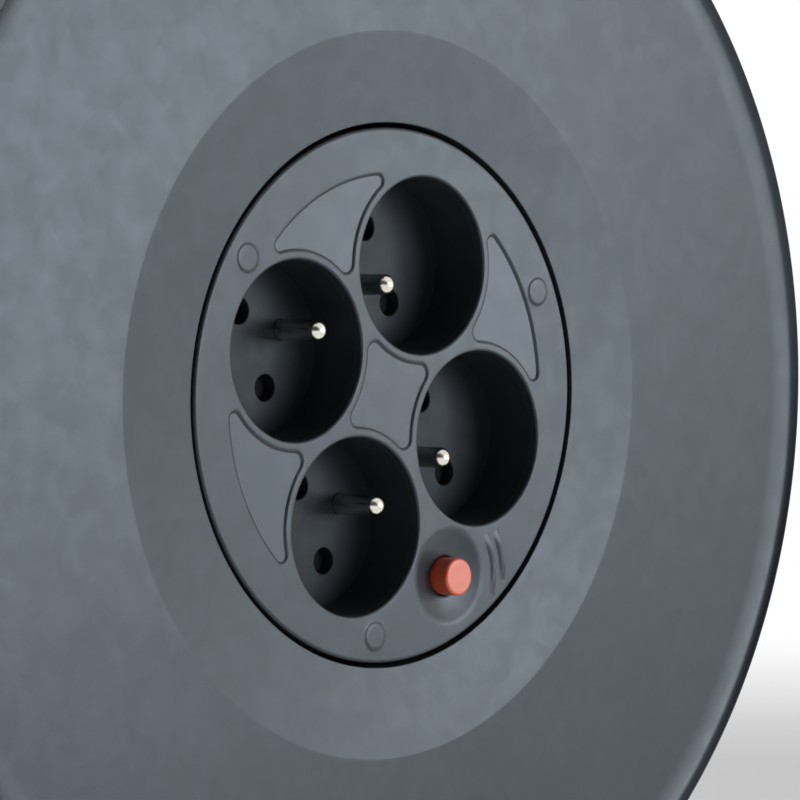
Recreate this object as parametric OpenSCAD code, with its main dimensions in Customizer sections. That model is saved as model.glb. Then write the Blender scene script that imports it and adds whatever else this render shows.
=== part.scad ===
// Extension cord reel: a moulded drum with a four-socket plate, spinning on a bent-tube stand.
// +Z is up, the sockets face -Y, the drum turns about Y, and the origin is on the floor below it.
// Drum and socket parts are drawn in the drum's own frame: z forward along the axle, y up.

/* [Drum] */
// Height of the axle above the floor
axis_z = 163; // [156:1:180]
// Outer radius of both flanges
flange_r = 142.1; // [136:0.1:144]
// Thickness of the flange web
flange_t = 3; // [2.5:0.1:4]
// Height of the flange lip above the flange face
lip_h = 2.2; // [1.6:0.1:3]
// Thickness of the flange lip
lip_w = 1.2; // [1:0.1:2]
// Width of the gentle rise before the lip
ramp_w = 7; // [6:0.5:14]
// Height of the gentle rise before the lip
ramp_h = 0.8; // [0.4:0.1:1.2]
// Radius of the crease round the shallow dish in the front flange
crease_r = 81.5; // [81:0.1:90]
// Depth of the shallow dish at the plate's edge
dish_h = 1; // [0.4:0.1:1.4]
// Radius of the opening that the socket plate sits in
opening_r = 61; // [60.8:0.1:64]
// Wall of the neck round the opening
neck_wall = 2.5; // [2:0.1:3.5]
// Outer radius of the winding core
core_r = 80; // [72:0.5:80.5]
// Wall of the winding core
core_wall = 3; // [2.5:0.1:4]
// Winding width between the flanges
winding_w = 102.4; // [96:0.2:105]
// Radius of the hub that holds the bushes
hub_r = 18; // [17:0.5:22]
// Thickness of the hub's ribs
rib_t = 2.5; // [2:0.1:4]
// Height of the hub's ribs
hub_rib_h = 26; // [20:0.5:30]
// Radius of the bosses for the screws that join the drum halves
joint_boss_r = 5.5; // [5:0.1:6.5]
// Shank radius of the screws that join the drum halves
joint_screw_r = 2.5; // [2:0.1:3]
// Head radius of the screws that join the drum halves
joint_head_r = 4.2; // [3.6:0.1:4.5]
// Depth of the seats of these screws' heads in the rear flange
joint_seat_t = 5; // [4:0.5:8]
// Length of these screws in the front half
joint_thread_l = 17; // [12:1:24]

/* [Socket plate] */
// Turn of the socket plate at rest, in degrees
plate_turn = 24.8; // [0:0.1:90]
// Radius of the socket plate
plate_r = 60; // [59:0.1:60.5]
// Thickness of the socket plate
plate_t = 2.5; // [2:0.1:3]
// Distance between neighbouring socket centres
socket_pitch = 43.66; // [43.4:0.02:44.4]
// Radius of a socket well
well_r = 20; // [19.8:0.1:20]
// Depth of a socket well
well_depth = 14.5; // [14:0.1:15]
// How much narrower a well is at its floor
well_draft = 0.4; // [0.1:0.1:0.6]
// Wall of a socket cup
cup_wall = 1.5; // [1.2:0.1:1.6]
// Floor thickness of a socket cup
cup_floor = 2.5; // [2:0.1:3]
// Rounding of a well's mouth
mouth_r = 1; // [0.5:0.1:1.4]
// Rounding of the plate's edge
edge_r = 0.8; // [0.4:0.1:1.2]
// Land left round each well beside the recessed pads
land_w = 2.2; // [2:0.1:2.6]
// Outer radius of the recessed pads
pad_r = 49.5; // [48:0.1:50]
// Depth of the recessed pads
pad_depth = 0.5; // [0.3:0.1:1]
// Rounding of the side pads' two outer corners
pad_corner_r = 1.5; // [1:0.1:1.8]
// Rounding of the pads' corners between two wells
pad_inner_r = 2.2; // [1.4:0.1:2.6]
// Radius of the three round marks over the plate screws
mark_r = 3.2; // [2.5:0.1:3.4]
// Height of the three round marks
mark_h = 0.3; // [0.2:0.1:0.5]
// Distance of the plate screws from the centre
screw_ring_r = 54; // [54:0.1:54.6]
// Shank radius of the small screws
small_screw_r = 1.5; // [1.3:0.1:1.7]
// Head radius of the small screws
small_head_r = 3; // [2.6:0.1:3.2]
// Radius of the three lugs that carry the plate
lug_r = 3.7; // [3.3:0.1:3.7]
// Height of the plate's screw bosses
boss_h = 6; // [5:0.5:7]

/* [Contacts] */
// Radius of an earth pin
earth_r = 2.4; // [2.3:0.1:2.4]
// Distance of the earth pin from its socket's centre
earth_offset = 10; // [9.5:0.1:10.5]
// How far an earth pin's tip lies below the plate's face
earth_sink = 1.2; // [0.5:0.1:3]
// Radius of an earth pin's foot
earth_foot_r = 3.4; // [3:0.1:3.6]
// Depth of the foot's seat in the back of its cup
earth_seat_t = 1.2; // [0.8:0.1:1.6]
// Distance between a socket's two pin holes
pin_spacing = 19; // [18.8:0.1:19.2]
// Radius of a pin hole
pin_hole_r = 3; // [2.8:0.1:3.2]
// Thickness of the contact carrier
carrier_t = 12; // [11:0.5:14]
// Half width of the contact carrier
carrier_w = 50; // [49.5:0.1:50.2]
// Half height of the contact carrier
carrier_h = 34.3; // [34.2:0.1:34.6]
// Thickness of the carrier's cover
cover_t = 2.5; // [2:0.1:4]
// Width of the brass bars
bar_w = 5; // [4:0.1:5.4]
// Thickness of the live and neutral bars
bar_t = 3; // [2:0.1:4]
// Thickness of the earth bar
earth_bar_t = 1.4; // [1:0.1:1.6]
// Half width of a shutter
shutter_w = 3.6; // [3.4:0.1:3.8]
// Thickness of a shutter
shutter_t = 2; // [1.6:0.1:2.2]
// Travel of a shutter
shutter_travel = 7; // [6.6:0.1:7.2]

/* [Reset button] */
// Distance of the reset button from the plate's centre
button_ring_r = 46; // [45.6:0.1:46.4]
// Radius of the reset button
button_r = 4.3; // [4:0.1:4.5]
// How far the button stands proud of the plate
button_proud = 3.2; // [3:0.1:5]
// Push travel of the button
button_push = 2.5; // [1.5:0.1:2.8]
// How far the button pops out when the breaker trips
button_trip = 1.5; // [0.5:0.1:2]
// Radius of the bowl round the button
bowl_r = 10.6; // [9:0.1:10.8]
// Depth of the bowl at its centre
bowl_depth = 3; // [2:0.1:3.4]
// Radius of the breaker's neck
breaker_neck_r = 9; // [8.4:0.1:9.6]
// Half width of the breaker
breaker_w = 12; // [10:0.5:13]
// Length of the breaker's body behind the neck
breaker_l = 26; // [22:1:30]
// Wire radius of the button's spring
spring_wire_r = 0.4; // [0.3:0.05:0.5]
// Turns of the button's spring
spring_turns = 6; // [4:1:8]
// Width of a moulded ridge beside the button
ridge_w = 1.6; // [1.2:0.1:2]
// Height of a moulded ridge beside the button
ridge_h = 0.3; // [0.2:0.1:0.5]

/* [Axle] */
// Radius of the axle
axle_r = 8; // [7:0.5:9]
// Radius of the axle's flange
axle_flange_r = 22; // [20:0.5:26]
// Thickness of the axle's flange
axle_flange_t = 4; // [3:0.1:5]
// Thread radius at the axle's rear end
axle_thread_r = 6; // [5:0.5:6.5]
// Wall of a bush
bush_wall = 3; // [2:0.1:4]
// Length of a bush inside the hub
bush_l = 14; // [10:0.5:18]
// Thickness of a bush's collar
bush_collar_t = 1.5; // [1:0.1:2.5]
// Length of the hub
hub_l = 57.2; // [50:0.2:64]
// Thickness of the washers on the axle
washer_t = 1.2; // [0.8:0.1:1.6]
// Thickness of the retaining ring
clip_t = 1.2; // [0.8:0.1:1.6]

/* [Crank] */
// Distance of the crank knob's centre from the flange's rim
knob_rim_gap = 27.1; // [23:0.1:36]
// Angle of the crank knob at rest, in degrees
knob_angle = 100; // [80:1:130]
// Radius of the crank knob
knob_r = 12; // [10:0.5:14]
// Length of the crank knob
knob_l = 24; // [20:0.5:26]
// Radius of the crank pin
crank_pin_r = 4; // [3:0.1:5]

/* [Cable gland] */
// Radius of the hole for the cord
gland_bore_r = 5; // [4:0.1:5.5]
// Thread radius of the gland
gland_thread_r = 8; // [7.5:0.1:9]
// Height of the gland outside the core
gland_out = 16; // [12:0.5:20]

/* [Stand] */
// Distance between the centre lines of the two side tubes
stand_w = 210; // [204:1:230]
// Radius of the stand's tube
tube_r = 10; // [9:0.5:11]
// Wall of the stand's tube
tube_wall = 1.5; // [1:0.1:2]
// Centre-line radius of every bend
bend_r = 36; // [30:1:40]
// Height of the tube's bottom above the floor
foot_h = 5; // [3:0.5:8]
// Distance from the drum's middle back to the side tubes
riser_y = 80; // [78:0.5:90]
// Finger room between the flanges and the grip
finger_gap = 36; // [30:1:50]
// Thickness of the axle plate
axle_plate_t = 3; // [2:0.1:4]
// Half height of the axle plate's arms
axle_plate_h = 30; // [28:1:36]
// Radius of the axle plate's round middle
axle_plate_r = 46; // [40:1:60]
// Depth of the axle plate's stiffening edges
edge_depth = 8; // [5:0.5:9]
// Height of the plate bolts above and below the axle
bolt_dz = 20; // [14:1:22]
// Shank radius of the plate bolts
bolt_r = 3; // [2.5:0.5:4]
// Head radius of the plate bolts
bolt_head_r = 5.5; // [5:0.1:7]
// Height of the plate bolts' heads
bolt_head_h = 4; // [3:0.1:5]
// Width across the nuts' corners over their thread
nut_scale = 1.9; // [1.8:0.05:2.1]
// Radius of the grip
grip_r = 16; // [15:0.5:19]
// Length of the grip
grip_l = 120; // [100:1:130]
// Rounding of the grip's ends
grip_end_r = 5; // [2:0.5:5.5]
// Thickness of the closed ends of the front feet
boot_end_t = 4; // [3:0.5:6]
// Wall of the rubber feet
foot_wall = 3.5; // [2.5:0.1:5]
// Length of the rubber feet
foot_l = 32; // [26:1:36]
// Half width of the feet's soles
sole_w = 11; // [9:0.5:13]

/* [Clearances] */
// Running clearance of the axle and crank pin, in radius
running_fit = 0.05; // [0.02:0.01:0.1]
// Seating clearance of fixed pieces, in radius
seat_fit = 0.05; // [0.02:0.01:0.1]
// Gap between pieces that move past each other
moving_gap = 0.3; // [0.25:0.05:0.5]
// Clearance of a screw's or bolt's hole, in radius
screw_fit = 0.3; // [0.2:0.05:0.4]

/* [Hidden] */
$fn = 64;

// How far cutting tools run past a face
over = 1;
// How far a boss or a raised mark reaches into the plate that it grows from
merge = 0.5;

// Drum frame: z forward from the drum's middle
front_web_z = winding_w / 2 + 2.8;
front_face_z = front_web_z + flange_t;
face_z = front_face_z - dish_h;
rear_web_z = front_web_z - winding_w;
rear_face_z = rear_web_z - flange_t;
ramp_bend_r = (ramp_w * ramp_w + ramp_h * ramp_h) / (2 * ramp_h);
core_in_r = core_r - core_wall;
plate_back_z = face_z - plate_t;

// Socket plate frame: the drum frame turned by plate_turn
half_pitch = socket_pitch / 2;
cup_r = well_r + cup_wall;
well_floor_z = face_z - well_depth;
cup_back_z = well_floor_z - cup_floor;
pad_cut_r = well_r + land_w;
lug_top_z = plate_back_z - boss_h;
lug_t = 3.5;
lug_back_z = lug_top_z - lug_t;
SCREW_ANGLES = [0, 120, 240];
// Each socket: its two signs in the plate frame, in the order a, b, c, d
SOCKETS = [[-1, 1], [1, 1], [1, -1], [-1, -1]];

// Contact carrier, from the cups' backs rearwards
earth_neck_r = earth_r + 0.5;
earth_seat_z = cup_back_z + earth_seat_t;
carrier_back_z = cup_back_z - carrier_t;
cover_back_z = carrier_back_z - cover_t;
carrier_corner_r = 10;
carrier_boss_r = 4;
carrier_screw_x = 45.5;
earth_bar_z = cup_back_z - 0.6 - earth_bar_t;
pocket_depth = shutter_t + 2 * moving_gap;
shutter_back_z = cup_back_z - moving_gap - shutter_t;
shutter_h = pin_spacing / 2 + shutter_w;
bar_gap = 0.3;
bar_end = half_pitch + 7;
link_x = 37;
outer_bar_y = half_pitch + pin_spacing / 2;
inner_bar_y = half_pitch - pin_spacing / 2;
channel_depth = bar_t + 1;

// Reset button and its breaker, in the plate frame
button_y = -button_ring_r;
bowl_sphere_r = (bowl_r * bowl_r + bowl_depth * bowl_depth) / (2 * bowl_depth);
collar_r = breaker_neck_r;
collar_back_z = face_z - bowl_depth - 2.4;
button_hole_r = button_r + moving_gap;
button_collar_r = button_r + 1.7;
chamber_r = button_collar_r + 2 * moving_gap;
chamber_top_z = collar_back_z - 4;
button_collar_t = 1.6;
button_collar_z = chamber_top_z - moving_gap - button_trip - button_collar_t;
chamber_back_z = button_collar_z - 14;
breaker_top_z = cup_back_z - 1;
breaker_back_z = breaker_top_z - breaker_l;
breaker_in_y = -carrier_h - 0.7;
breaker_out_y = -58;
spring_back_z = chamber_back_z + moving_gap + spring_wire_r;
spring_top_z = button_collar_z - moving_gap - spring_wire_r;
spring_r = button_r;
// The two moulded ridges: radius round the button, first and last angle at rest
RIDGES = [[14.6, -10, 38], [17.5, 2, 33]];

// Axle, in the drum frame
axle_plate_front_z = -(riser_y - tube_r - axle_plate_t);
axle_plate_back_z = axle_plate_front_z - axle_plate_t;
axle_flange_z = axle_plate_front_z + axle_flange_t;
bush_back_z = axle_flange_z + moving_gap;
hub_back_z = bush_back_z + bush_collar_t;
hub_front_z = hub_back_z + hub_l;
bush_in_r = axle_r + running_fit;
bush_out_r = axle_r + bush_wall;
bush_collar_r = bush_out_r + 3;
front_washer_z = hub_front_z + bush_collar_t + moving_gap;
clip_z = front_washer_z + washer_t;
clip_groove_r = axle_r - 0.8;
axle_front_z = clip_z + clip_t + 2.5;
axle_nut_h = 1.6 * axle_thread_r;
axle_back_z = axle_plate_back_z - washer_t - axle_nut_h - 1.5;

// Crank, in the drum frame
knob_ring_r = flange_r - knob_rim_gap;
crank_seat_t = 2;
crank_rivet_t = 2;
knob_back_z = front_face_z + crank_seat_t + moving_gap;
knob_front_z = knob_back_z + knob_l;
knob_recess = 3;
crank_head_t = 1.6;
crank_head_r = crank_pin_r + 2.4;
crank_head_z = knob_front_z - knob_recess + moving_gap;

// Stand
tube_z = foot_h + tube_r;
tube_x = stand_w / 2;
grip_bottom_z = axis_z + flange_r + finger_gap;
handle_z = grip_bottom_z + grip_r;
bend_y = riser_y - bend_r;
base_front_y = -(riser_y + tube_r + bolt_head_h);
tube_front_y = base_front_y + boot_end_t;
rear_foot_y = bend_y - 2 - foot_l;
nut_h = 1.7 * bolt_r;
bolt_end_y = riser_y - tube_r - axle_plate_t - nut_h - 1.5;
grip_screw_z = handle_z - (tube_r + grip_r) / 2 + 0.2;
grip_screw_x = grip_l * 0.35;
grip_seat_y = -0.375 * grip_r;
grip_screw_end_y = 0.345 * grip_r;
grip_screw_head_r = 0.8 * small_head_r;

// Shared frames and shapes

module in_drum() {
    translate([0, 0, axis_z])
        rotate([90, 0, 0])
            children();
}

module in_plate() {
    in_drum()
        rotate([0, 0, plate_turn])
            children();
}

module at_socket(k) {
    in_plate()
        translate([SOCKETS[k][0] * half_pitch, SOCKETS[k][1] * half_pitch, 0])
            children();
}

module both_sides() {
    children();
    mirror([1, 0, 0])
        children();
}

module disc(r, z0, z1) {
    translate([0, 0, z0])
        cylinder(r = r, h = z1 - z0);
}

module tube(r_out, r_in, z0, z1) {
    difference() {
        disc(r_out, z0, z1);
        disc(r_in, z0 - over, z1 + over);
    }
}

module rounded_slab(w, h, r, t) {
    linear_extrude(height = t) {
        square([2 * (w - r), 2 * h], center = true);
        square([2 * w, 2 * (h - r)], center = true);
        for (x = [-1, 1], y = [-1, 1])
            translate([x * (w - r), y * (h - r)])
                circle(r = r);
    }
}

module hex_nut(r_out, r_in, z0, z1) {
    // Corners chamfered at both ends
    bevel = 0.1 * r_out;
    difference() {
        intersection() {
            translate([0, 0, z0])
                cylinder(r = r_out, h = z1 - z0, $fn = 6);
            translate([0, 0, z0])
                cylinder(r1 = r_out - bevel, r2 = r_out - bevel + (z1 - z0) * 2, h = z1 - z0);
            translate([0, 0, z0])
                cylinder(r1 = r_out - bevel + (z1 - z0) * 2, r2 = r_out - bevel, h = z1 - z0);
        }
        disc(r_in, z0 - over, z1 + over);
    }
}

module cross_recess(head_r, z0, z1) {
    // Two crossed slots between z0 and z1
    for (turn = [0, 90])
        rotate([0, 0, turn])
            translate([-0.55 * head_r, -0.14 * head_r, z0])
                cube([1.1 * head_r, 0.28 * head_r, z1 - z0]);
}

module domed_screw(r, head_r, head_h, z0, z1) {
    // Shank from z0 up to z1, head below z0
    disc(r, z0, z1);
    intersection() {
        disc(head_r, z0 - head_h, z0);
        translate([0, 0, z0 - head_h + 1.6 * head_r])
            sphere(r = 1.6 * head_r);
    }
}

module cross_screw(r, head_r, head_h, z0, z1) {
    difference() {
        domed_screw(r, head_r, head_h, z0, z1);
        cross_recess(head_r, z0 - 2 * head_h, z0 - 0.4 * head_h);
    }
}

// Stand

module tube_ring() {
    difference() {
        circle(r = tube_r);
        circle(r = tube_r - tube_wall);
    }
}

module straight_tube(l) {
    linear_extrude(height = l)
        tube_ring();
}

module bent_tube() {
    rotate_extrude(angle = 90)
        translate([bend_r, 0])
            tube_ring();
}

module side_tube() {
    // Runner, lower bend, riser, upper bend, arm and corner bend of one side
    translate([tube_x, bend_y, tube_z])
        rotate([90, 0, 0])
            straight_tube(bend_y - tube_front_y);
    translate([tube_x, bend_y, tube_z + bend_r])
        rotate([90, 0, 90])
            rotate([0, 0, -90])
                bent_tube();
    translate([tube_x, riser_y, tube_z + bend_r])
        straight_tube(handle_z - tube_z - 2 * bend_r);
    translate([tube_x, bend_y, handle_z - bend_r])
        rotate([90, 0, 90])
            bent_tube();
    translate([tube_x, bend_y, handle_z])
        rotate([90, 0, 0])
            straight_tube(bend_y - bend_r);
    translate([tube_x - bend_r, bend_r, handle_z])
        rotate([0, 0, -90])
            bent_tube();
}

module at_bolts() {
    for (x = [-1, 1], z = [-1, 1])
        translate([x * tube_x, 0, axis_z + z * bolt_dz])
            rotate([90, 0, 0])
                children();
}

module stand_tube() {
    color("#8f9499")
        difference() {
            union() {
                both_sides()
                    side_tube();
                translate([-tube_x + bend_r, 0, handle_z])
                    rotate([0, 90, 0])
                        straight_tube(2 * (tube_x - bend_r));
            }
            at_bolts()
                disc(bolt_r + screw_fit, -riser_y - tube_r - over, -riser_y + tube_r + over);
        }
}

module axle_plate() {
    arm_w = tube_x + tube_r + 2;
    edge_w = tube_x - tube_r - 3;
    color("#5c6166")
        difference() {
            in_drum() {
                translate([0, 0, axle_plate_back_z]) {
                    rounded_slab(arm_w, axle_plate_h, 8, axle_plate_t);
                    cylinder(r = axle_plate_r, h = axle_plate_t);
                }
                for (y = [-1, 1], x = [-1, 1])
                    translate([x * (axle_plate_r + edge_w) / 2, y * (axle_plate_h - 1), 0])
                        translate([0, 0, axle_plate_back_z - edge_depth / 2])
                            cube([edge_w - axle_plate_r, 2, edge_depth], center = true);
            }
            in_drum()
                disc(axle_thread_r + seat_fit, axle_plate_back_z - over, axle_plate_front_z + over);
            at_bolts()
                disc(bolt_r + screw_fit, axle_plate_back_z - over, axle_plate_front_z + over);
        }
}

module axle() {
    color("#b9bdc1")
        in_drum()
            difference() {
                union() {
                    disc(axle_r, axle_plate_front_z, axle_front_z);
                    disc(axle_flange_r, axle_plate_front_z, axle_flange_z);
                    disc(axle_thread_r, axle_back_z, axle_plate_front_z);
                }
                tube(axle_r + over, clip_groove_r, clip_z, clip_z + clip_t);
            }
}

module axle_nut() {
    color("#a9adb2")
        in_drum()
            hex_nut(nut_scale * axle_thread_r, axle_thread_r + seat_fit,
                axle_plate_back_z - washer_t - axle_nut_h, axle_plate_back_z - washer_t);
}

module axle_washer() {
    color("#b4b8bc")
        in_drum() {
            tube(2 * axle_thread_r, axle_thread_r + seat_fit,
                axle_plate_back_z - washer_t, axle_plate_back_z);
            tube(bush_collar_r, axle_r + seat_fit, front_washer_z, front_washer_z + washer_t);
        }
}

module retaining_ring() {
    color("#4a4d50")
        in_drum()
            difference() {
                tube(axle_r + 2.2, clip_groove_r + seat_fit, clip_z, clip_z + clip_t);
                translate([0, axle_r, clip_z + clip_t / 2])
                    cube([axle_r, 2 * axle_r, clip_t + 2 * over], center = true);
            }
}

module plate_bolts() {
    color("#b9bdc1")
        at_bolts()
            domed_screw(bolt_r, bolt_head_r, bolt_head_h, -riser_y - tube_r, -bolt_end_y);
}

module plate_nuts() {
    color("#a9adb2")
        at_bolts()
            hex_nut(nut_scale * bolt_r, bolt_r + seat_fit, axle_plate_front_z,
                axle_plate_front_z + nut_h);
}

module foot(y0, end_t) {
    // Rubber sleeve with a flat sole, closed by end_t at its front
    difference() {
        union() {
            translate([tube_x, y0 + foot_l, tube_z])
                rotate([90, 0, 0])
                    cylinder(r = tube_r + foot_wall, h = foot_l);
            translate([tube_x - sole_w, y0, 0])
                cube([2 * sole_w, foot_l, tube_z]);
        }
        translate([tube_x, y0 + foot_l + over, tube_z])
            rotate([90, 0, 0])
                cylinder(r = tube_r + seat_fit, h = foot_l + over - end_t);
    }
}

module front_feet() {
    color("#1d1e20")
        both_sides()
            foot(base_front_y, boot_end_t);
}

module rear_feet() {
    color("#1d1e20")
        both_sides()
            foot(rear_foot_y, -2 * over);
}

module grip_body() {
    // Round grip along X, with rounded ends
    translate([0, 0, handle_z])
        rotate([0, 90, 0])
            rotate_extrude() {
                translate([tube_r + seat_fit, -grip_l / 2])
                    square([grip_r - grip_end_r - tube_r - seat_fit, grip_l]);
                translate([tube_r + seat_fit, -grip_l / 2 + grip_end_r])
                    square([grip_r - tube_r - seat_fit, grip_l - 2 * grip_end_r]);
                for (s = [-1, 1])
                    intersection() {
                        translate([grip_r - grip_end_r, s * (grip_l / 2 - grip_end_r)])
                            circle(r = grip_end_r);
                        translate([tube_r + seat_fit, -grip_l / 2])
                            square([grip_r, grip_l]);
                    }
            }
}

module at_grip_screws() {
    for (x = [-1, 1])
        translate([x * grip_screw_x, 0, grip_screw_z])
            rotate([-90, 0, 0])
                children();
}

module grip_front() {
    color("#2b2d30")
        difference() {
            grip_body();
            translate([-grip_l, 0, handle_z - 2 * grip_r])
                cube([2 * grip_l, 2 * grip_r, 4 * grip_r]);
            at_grip_screws() {
                disc(small_screw_r + screw_fit, -grip_r, over);
                disc(grip_screw_head_r + screw_fit, -grip_r, grip_seat_y);
            }
        }
}

module grip_rear() {
    color("#2b2d30")
        difference() {
            grip_body();
            translate([-grip_l, -2 * grip_r, handle_z - 2 * grip_r])
                cube([2 * grip_l, 2 * grip_r, 4 * grip_r]);
            at_grip_screws()
                disc(small_screw_r + seat_fit, -over, grip_screw_end_y + 2 * moving_gap);
        }
}

module grip_screws() {
    color("#b9bdc1")
        at_grip_screws()
            cross_screw(small_screw_r, grip_screw_head_r, 0.53 * small_head_r, grip_seat_y,
                grip_screw_end_y);
}

// Drum

module flange_section() {
    // Web with its face at z = 0, the gentle rise and the lip, from the crease outwards
    ramp_start = flange_r - lip_w - ramp_w;
    translate([crease_r, -flange_t])
        square([flange_r - lip_w / 2 - crease_r, flange_t]);
    difference() {
        translate([ramp_start, -flange_t / 2])
            square([ramp_w, flange_t / 2 + ramp_h]);
        translate([ramp_start, ramp_bend_r])
            circle(r = ramp_bend_r, $fn = 180);
    }
    translate([flange_r - lip_w, -flange_t])
        square([lip_w, flange_t + lip_h - lip_w / 2]);
    translate([flange_r - lip_w / 2, lip_h - lip_w / 2])
        circle(r = lip_w / 2);
}

module at_joint_screws() {
    for (k = [0:3])
        rotate([0, 0, 45 + 90 * k])
            translate([core_in_r - joint_boss_r - 0.5, 0, 0])
                children();
}

module joint_boss(z0, z1) {
    // Screw boss with a web to the core wall
    disc(joint_boss_r, z0, z1);
    translate([0, -rib_t / 2, z0])
        cube([joint_boss_r + 0.5 + core_wall / 2, rib_t, z1 - z0]);
}

module front_flange() {
    neck_z = lug_back_z;
    color("#6f767c")
        in_drum()
            difference() {
                union() {
                    rotate_extrude($fn = 180) {
                        translate([0, front_face_z])
                            flange_section();
                        polygon([[opening_r, face_z], [crease_r, front_face_z],
                            [crease_r, front_web_z], [opening_r, face_z - flange_t]]);
                        translate([opening_r, neck_z])
                            square([neck_wall, face_z - flange_t / 2 - neck_z]);
                        translate([core_in_r, 0])
                            square([core_wall, front_web_z + flange_t / 2]);
                    }
                    at_joint_screws()
                        joint_boss(0, front_web_z);
                    rotate([0, 0, plate_turn])
                        for (a = SCREW_ANGLES)
                            rotate([0, 0, a]) {
                                translate([screw_ring_r, 0, lug_back_z])
                                    cylinder(r = lug_r, h = lug_t);
                                translate([screw_ring_r, -lug_r, lug_back_z])
                                    cube([opening_r + neck_wall / 2 - screw_ring_r, 2 * lug_r, lug_t]);
                            }
                }
                at_joint_screws()
                    disc(joint_screw_r - 0.5 + seat_fit, -over, joint_thread_l + 1);
                rotate([0, 0, plate_turn])
                    for (a = SCREW_ANGLES)
                        rotate([0, 0, a])
                            translate([screw_ring_r, 0, 0])
                                disc(small_screw_r + screw_fit, lug_back_z - over, lug_top_z + over);
                rotate([0, 0, knob_angle])
                    translate([knob_ring_r, 0, 0])
                        disc(crank_pin_r + seat_fit, front_web_z - over, front_face_z + over);
            }
}

module at_gland() {
    // Radial frame of the cord gland, on the side away from the plate's button
    translate([0, 0, rear_web_z / 2])
        rotate([0, 0, 180])
            rotate([0, 90, 0])
                children();
}

module rear_flange() {
    rib_front_z = rear_web_z + hub_rib_h;
    head_seat_z = rear_face_z + joint_seat_t;
    gland_seat = core_r + 1.5;
    color("#6f767c")
        in_drum()
            difference() {
                union() {
                    rotate_extrude($fn = 180) {
                        translate([0, rear_face_z])
                            mirror([0, 1])
                                flange_section();
                        translate([hub_r - 2, rear_face_z])
                            square([crease_r - hub_r + 4, flange_t]);
                        translate([core_in_r, rear_web_z - flange_t / 2])
                            square([core_wall, -rear_web_z + flange_t / 2]);
                        translate([bush_out_r + seat_fit, hub_back_z])
                            square([hub_r - bush_out_r - seat_fit, hub_l]);
                    }
                    at_joint_screws()
                        joint_boss(rear_face_z + flange_t / 2, 0);
                    for (a = [30:60:330])
                        rotate([0, 0, a])
                            translate([hub_r - 1, -rib_t / 2, rear_web_z - 1])
                                cube([core_in_r - hub_r + 2, rib_t, rib_front_z - rear_web_z + 1]);
                    at_gland()
                        disc(gland_thread_r + 5, core_in_r - 2, gland_seat);
                }
                at_joint_screws() {
                    disc(joint_screw_r + screw_fit, rear_face_z - over, over);
                    disc(joint_head_r + screw_fit, rear_face_z - over, head_seat_z);
                }
                at_gland()
                    disc(gland_thread_r + seat_fit, core_in_r - 3 * core_wall, gland_seat + over);
            }
}

module drum_screws() {
    color("#b9bdc1")
        in_drum()
            at_joint_screws() {
                cross_screw(joint_screw_r, joint_head_r, 2.6, rear_face_z + joint_seat_t, 0);
                disc(joint_screw_r - 0.5, -over, joint_thread_l);
            }
}

module bush(z0, z1, collar_z) {
    tube(bush_out_r, bush_in_r, z0, z1);
    tube(bush_collar_r, bush_in_r, collar_z, collar_z + bush_collar_t);
}

module rear_bush() {
    color("#d8d6cf")
        in_drum()
            bush(hub_back_z, hub_back_z + bush_l, bush_back_z);
}

module front_bush() {
    color("#d8d6cf")
        in_drum()
            bush(hub_front_z - bush_l, hub_front_z, hub_front_z);
}

module cord_gland() {
    seat = core_r + 1.5;
    hex_t = 5;
    color("#26282b")
        in_drum()
            at_gland()
                difference() {
                    union() {
                        disc(gland_thread_r, core_in_r - 12, seat + hex_t);
                        hex_nut(gland_thread_r + 3.6, gland_bore_r, seat, seat + hex_t);
                        disc(gland_thread_r + 1.6, seat + hex_t, seat + gland_out);
                    }
                    disc(gland_bore_r, core_in_r - 12 - over, seat + gland_out + over);
                }
}

module gland_nut() {
    nut_back = core_in_r - 2;
    color("#26282b")
        in_drum()
            at_gland()
                hex_nut(gland_thread_r + 3.6, gland_thread_r + seat_fit, nut_back - 4.5, nut_back);
}

// Socket plate

// Distance from the middle between two wells to the centre that rounds a pad's corner there
function pad_tip(r) = sqrt(pow(pad_cut_r + r, 2) - half_pitch * half_pitch);

// Point beside the +x axis where a circle round the origin meets one round the socket there
function meeting_point(r, socket_r) =
    let (d = half_pitch * sqrt(2), s = (r * r - socket_r * socket_r + d * d) / (2 * d),
        t = sqrt(r * r - s * s))
    [(s + t) / sqrt(2), (s - t) / sqrt(2)];

module circle_at(c, r) {
    translate(c)
        circle(r = r);
}

module corner_sliver(c, r, side_a, tip, side_b) {
    // What lies beyond the rounding of radius r about c, between its two tangent points and the tip.
    // The circle is a touch larger, so that it crosses the sides instead of only touching them.
    difference() {
        polygon([c, side_a + (side_a - c) / 4, tip + (tip - c) / 2, side_b + (side_b - c) / 4]);
        circle_at(c, r + 0.04);
    }
}

module outer_corner() {
    c = meeting_point(pad_r - pad_corner_r, pad_cut_r + pad_corner_r);
    socket = [half_pitch, half_pitch];
    on_rim = c * (pad_r / norm(c));
    on_cut = socket + (c - socket) * (pad_cut_r / norm(c - socket));
    corner_sliver(c, pad_corner_r, on_rim, meeting_point(pad_r, pad_cut_r), on_cut);
}

module inner_corner(sign) {
    // Corner between two wells: sign 1 for a side pad, -1 for the centre pad
    reach = pad_tip(pad_inner_r);
    c = [half_pitch + sign * reach, 0];
    on_cut = [c[0] - sign * pad_inner_r * reach / (pad_cut_r + pad_inner_r),
        pad_inner_r * half_pitch / (pad_cut_r + pad_inner_r)];
    tip = [half_pitch + sign * pad_tip(0), 0];
    corner_sliver(c, pad_inner_r, on_cut, tip, [on_cut[0], -on_cut[1]]);
}

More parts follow.
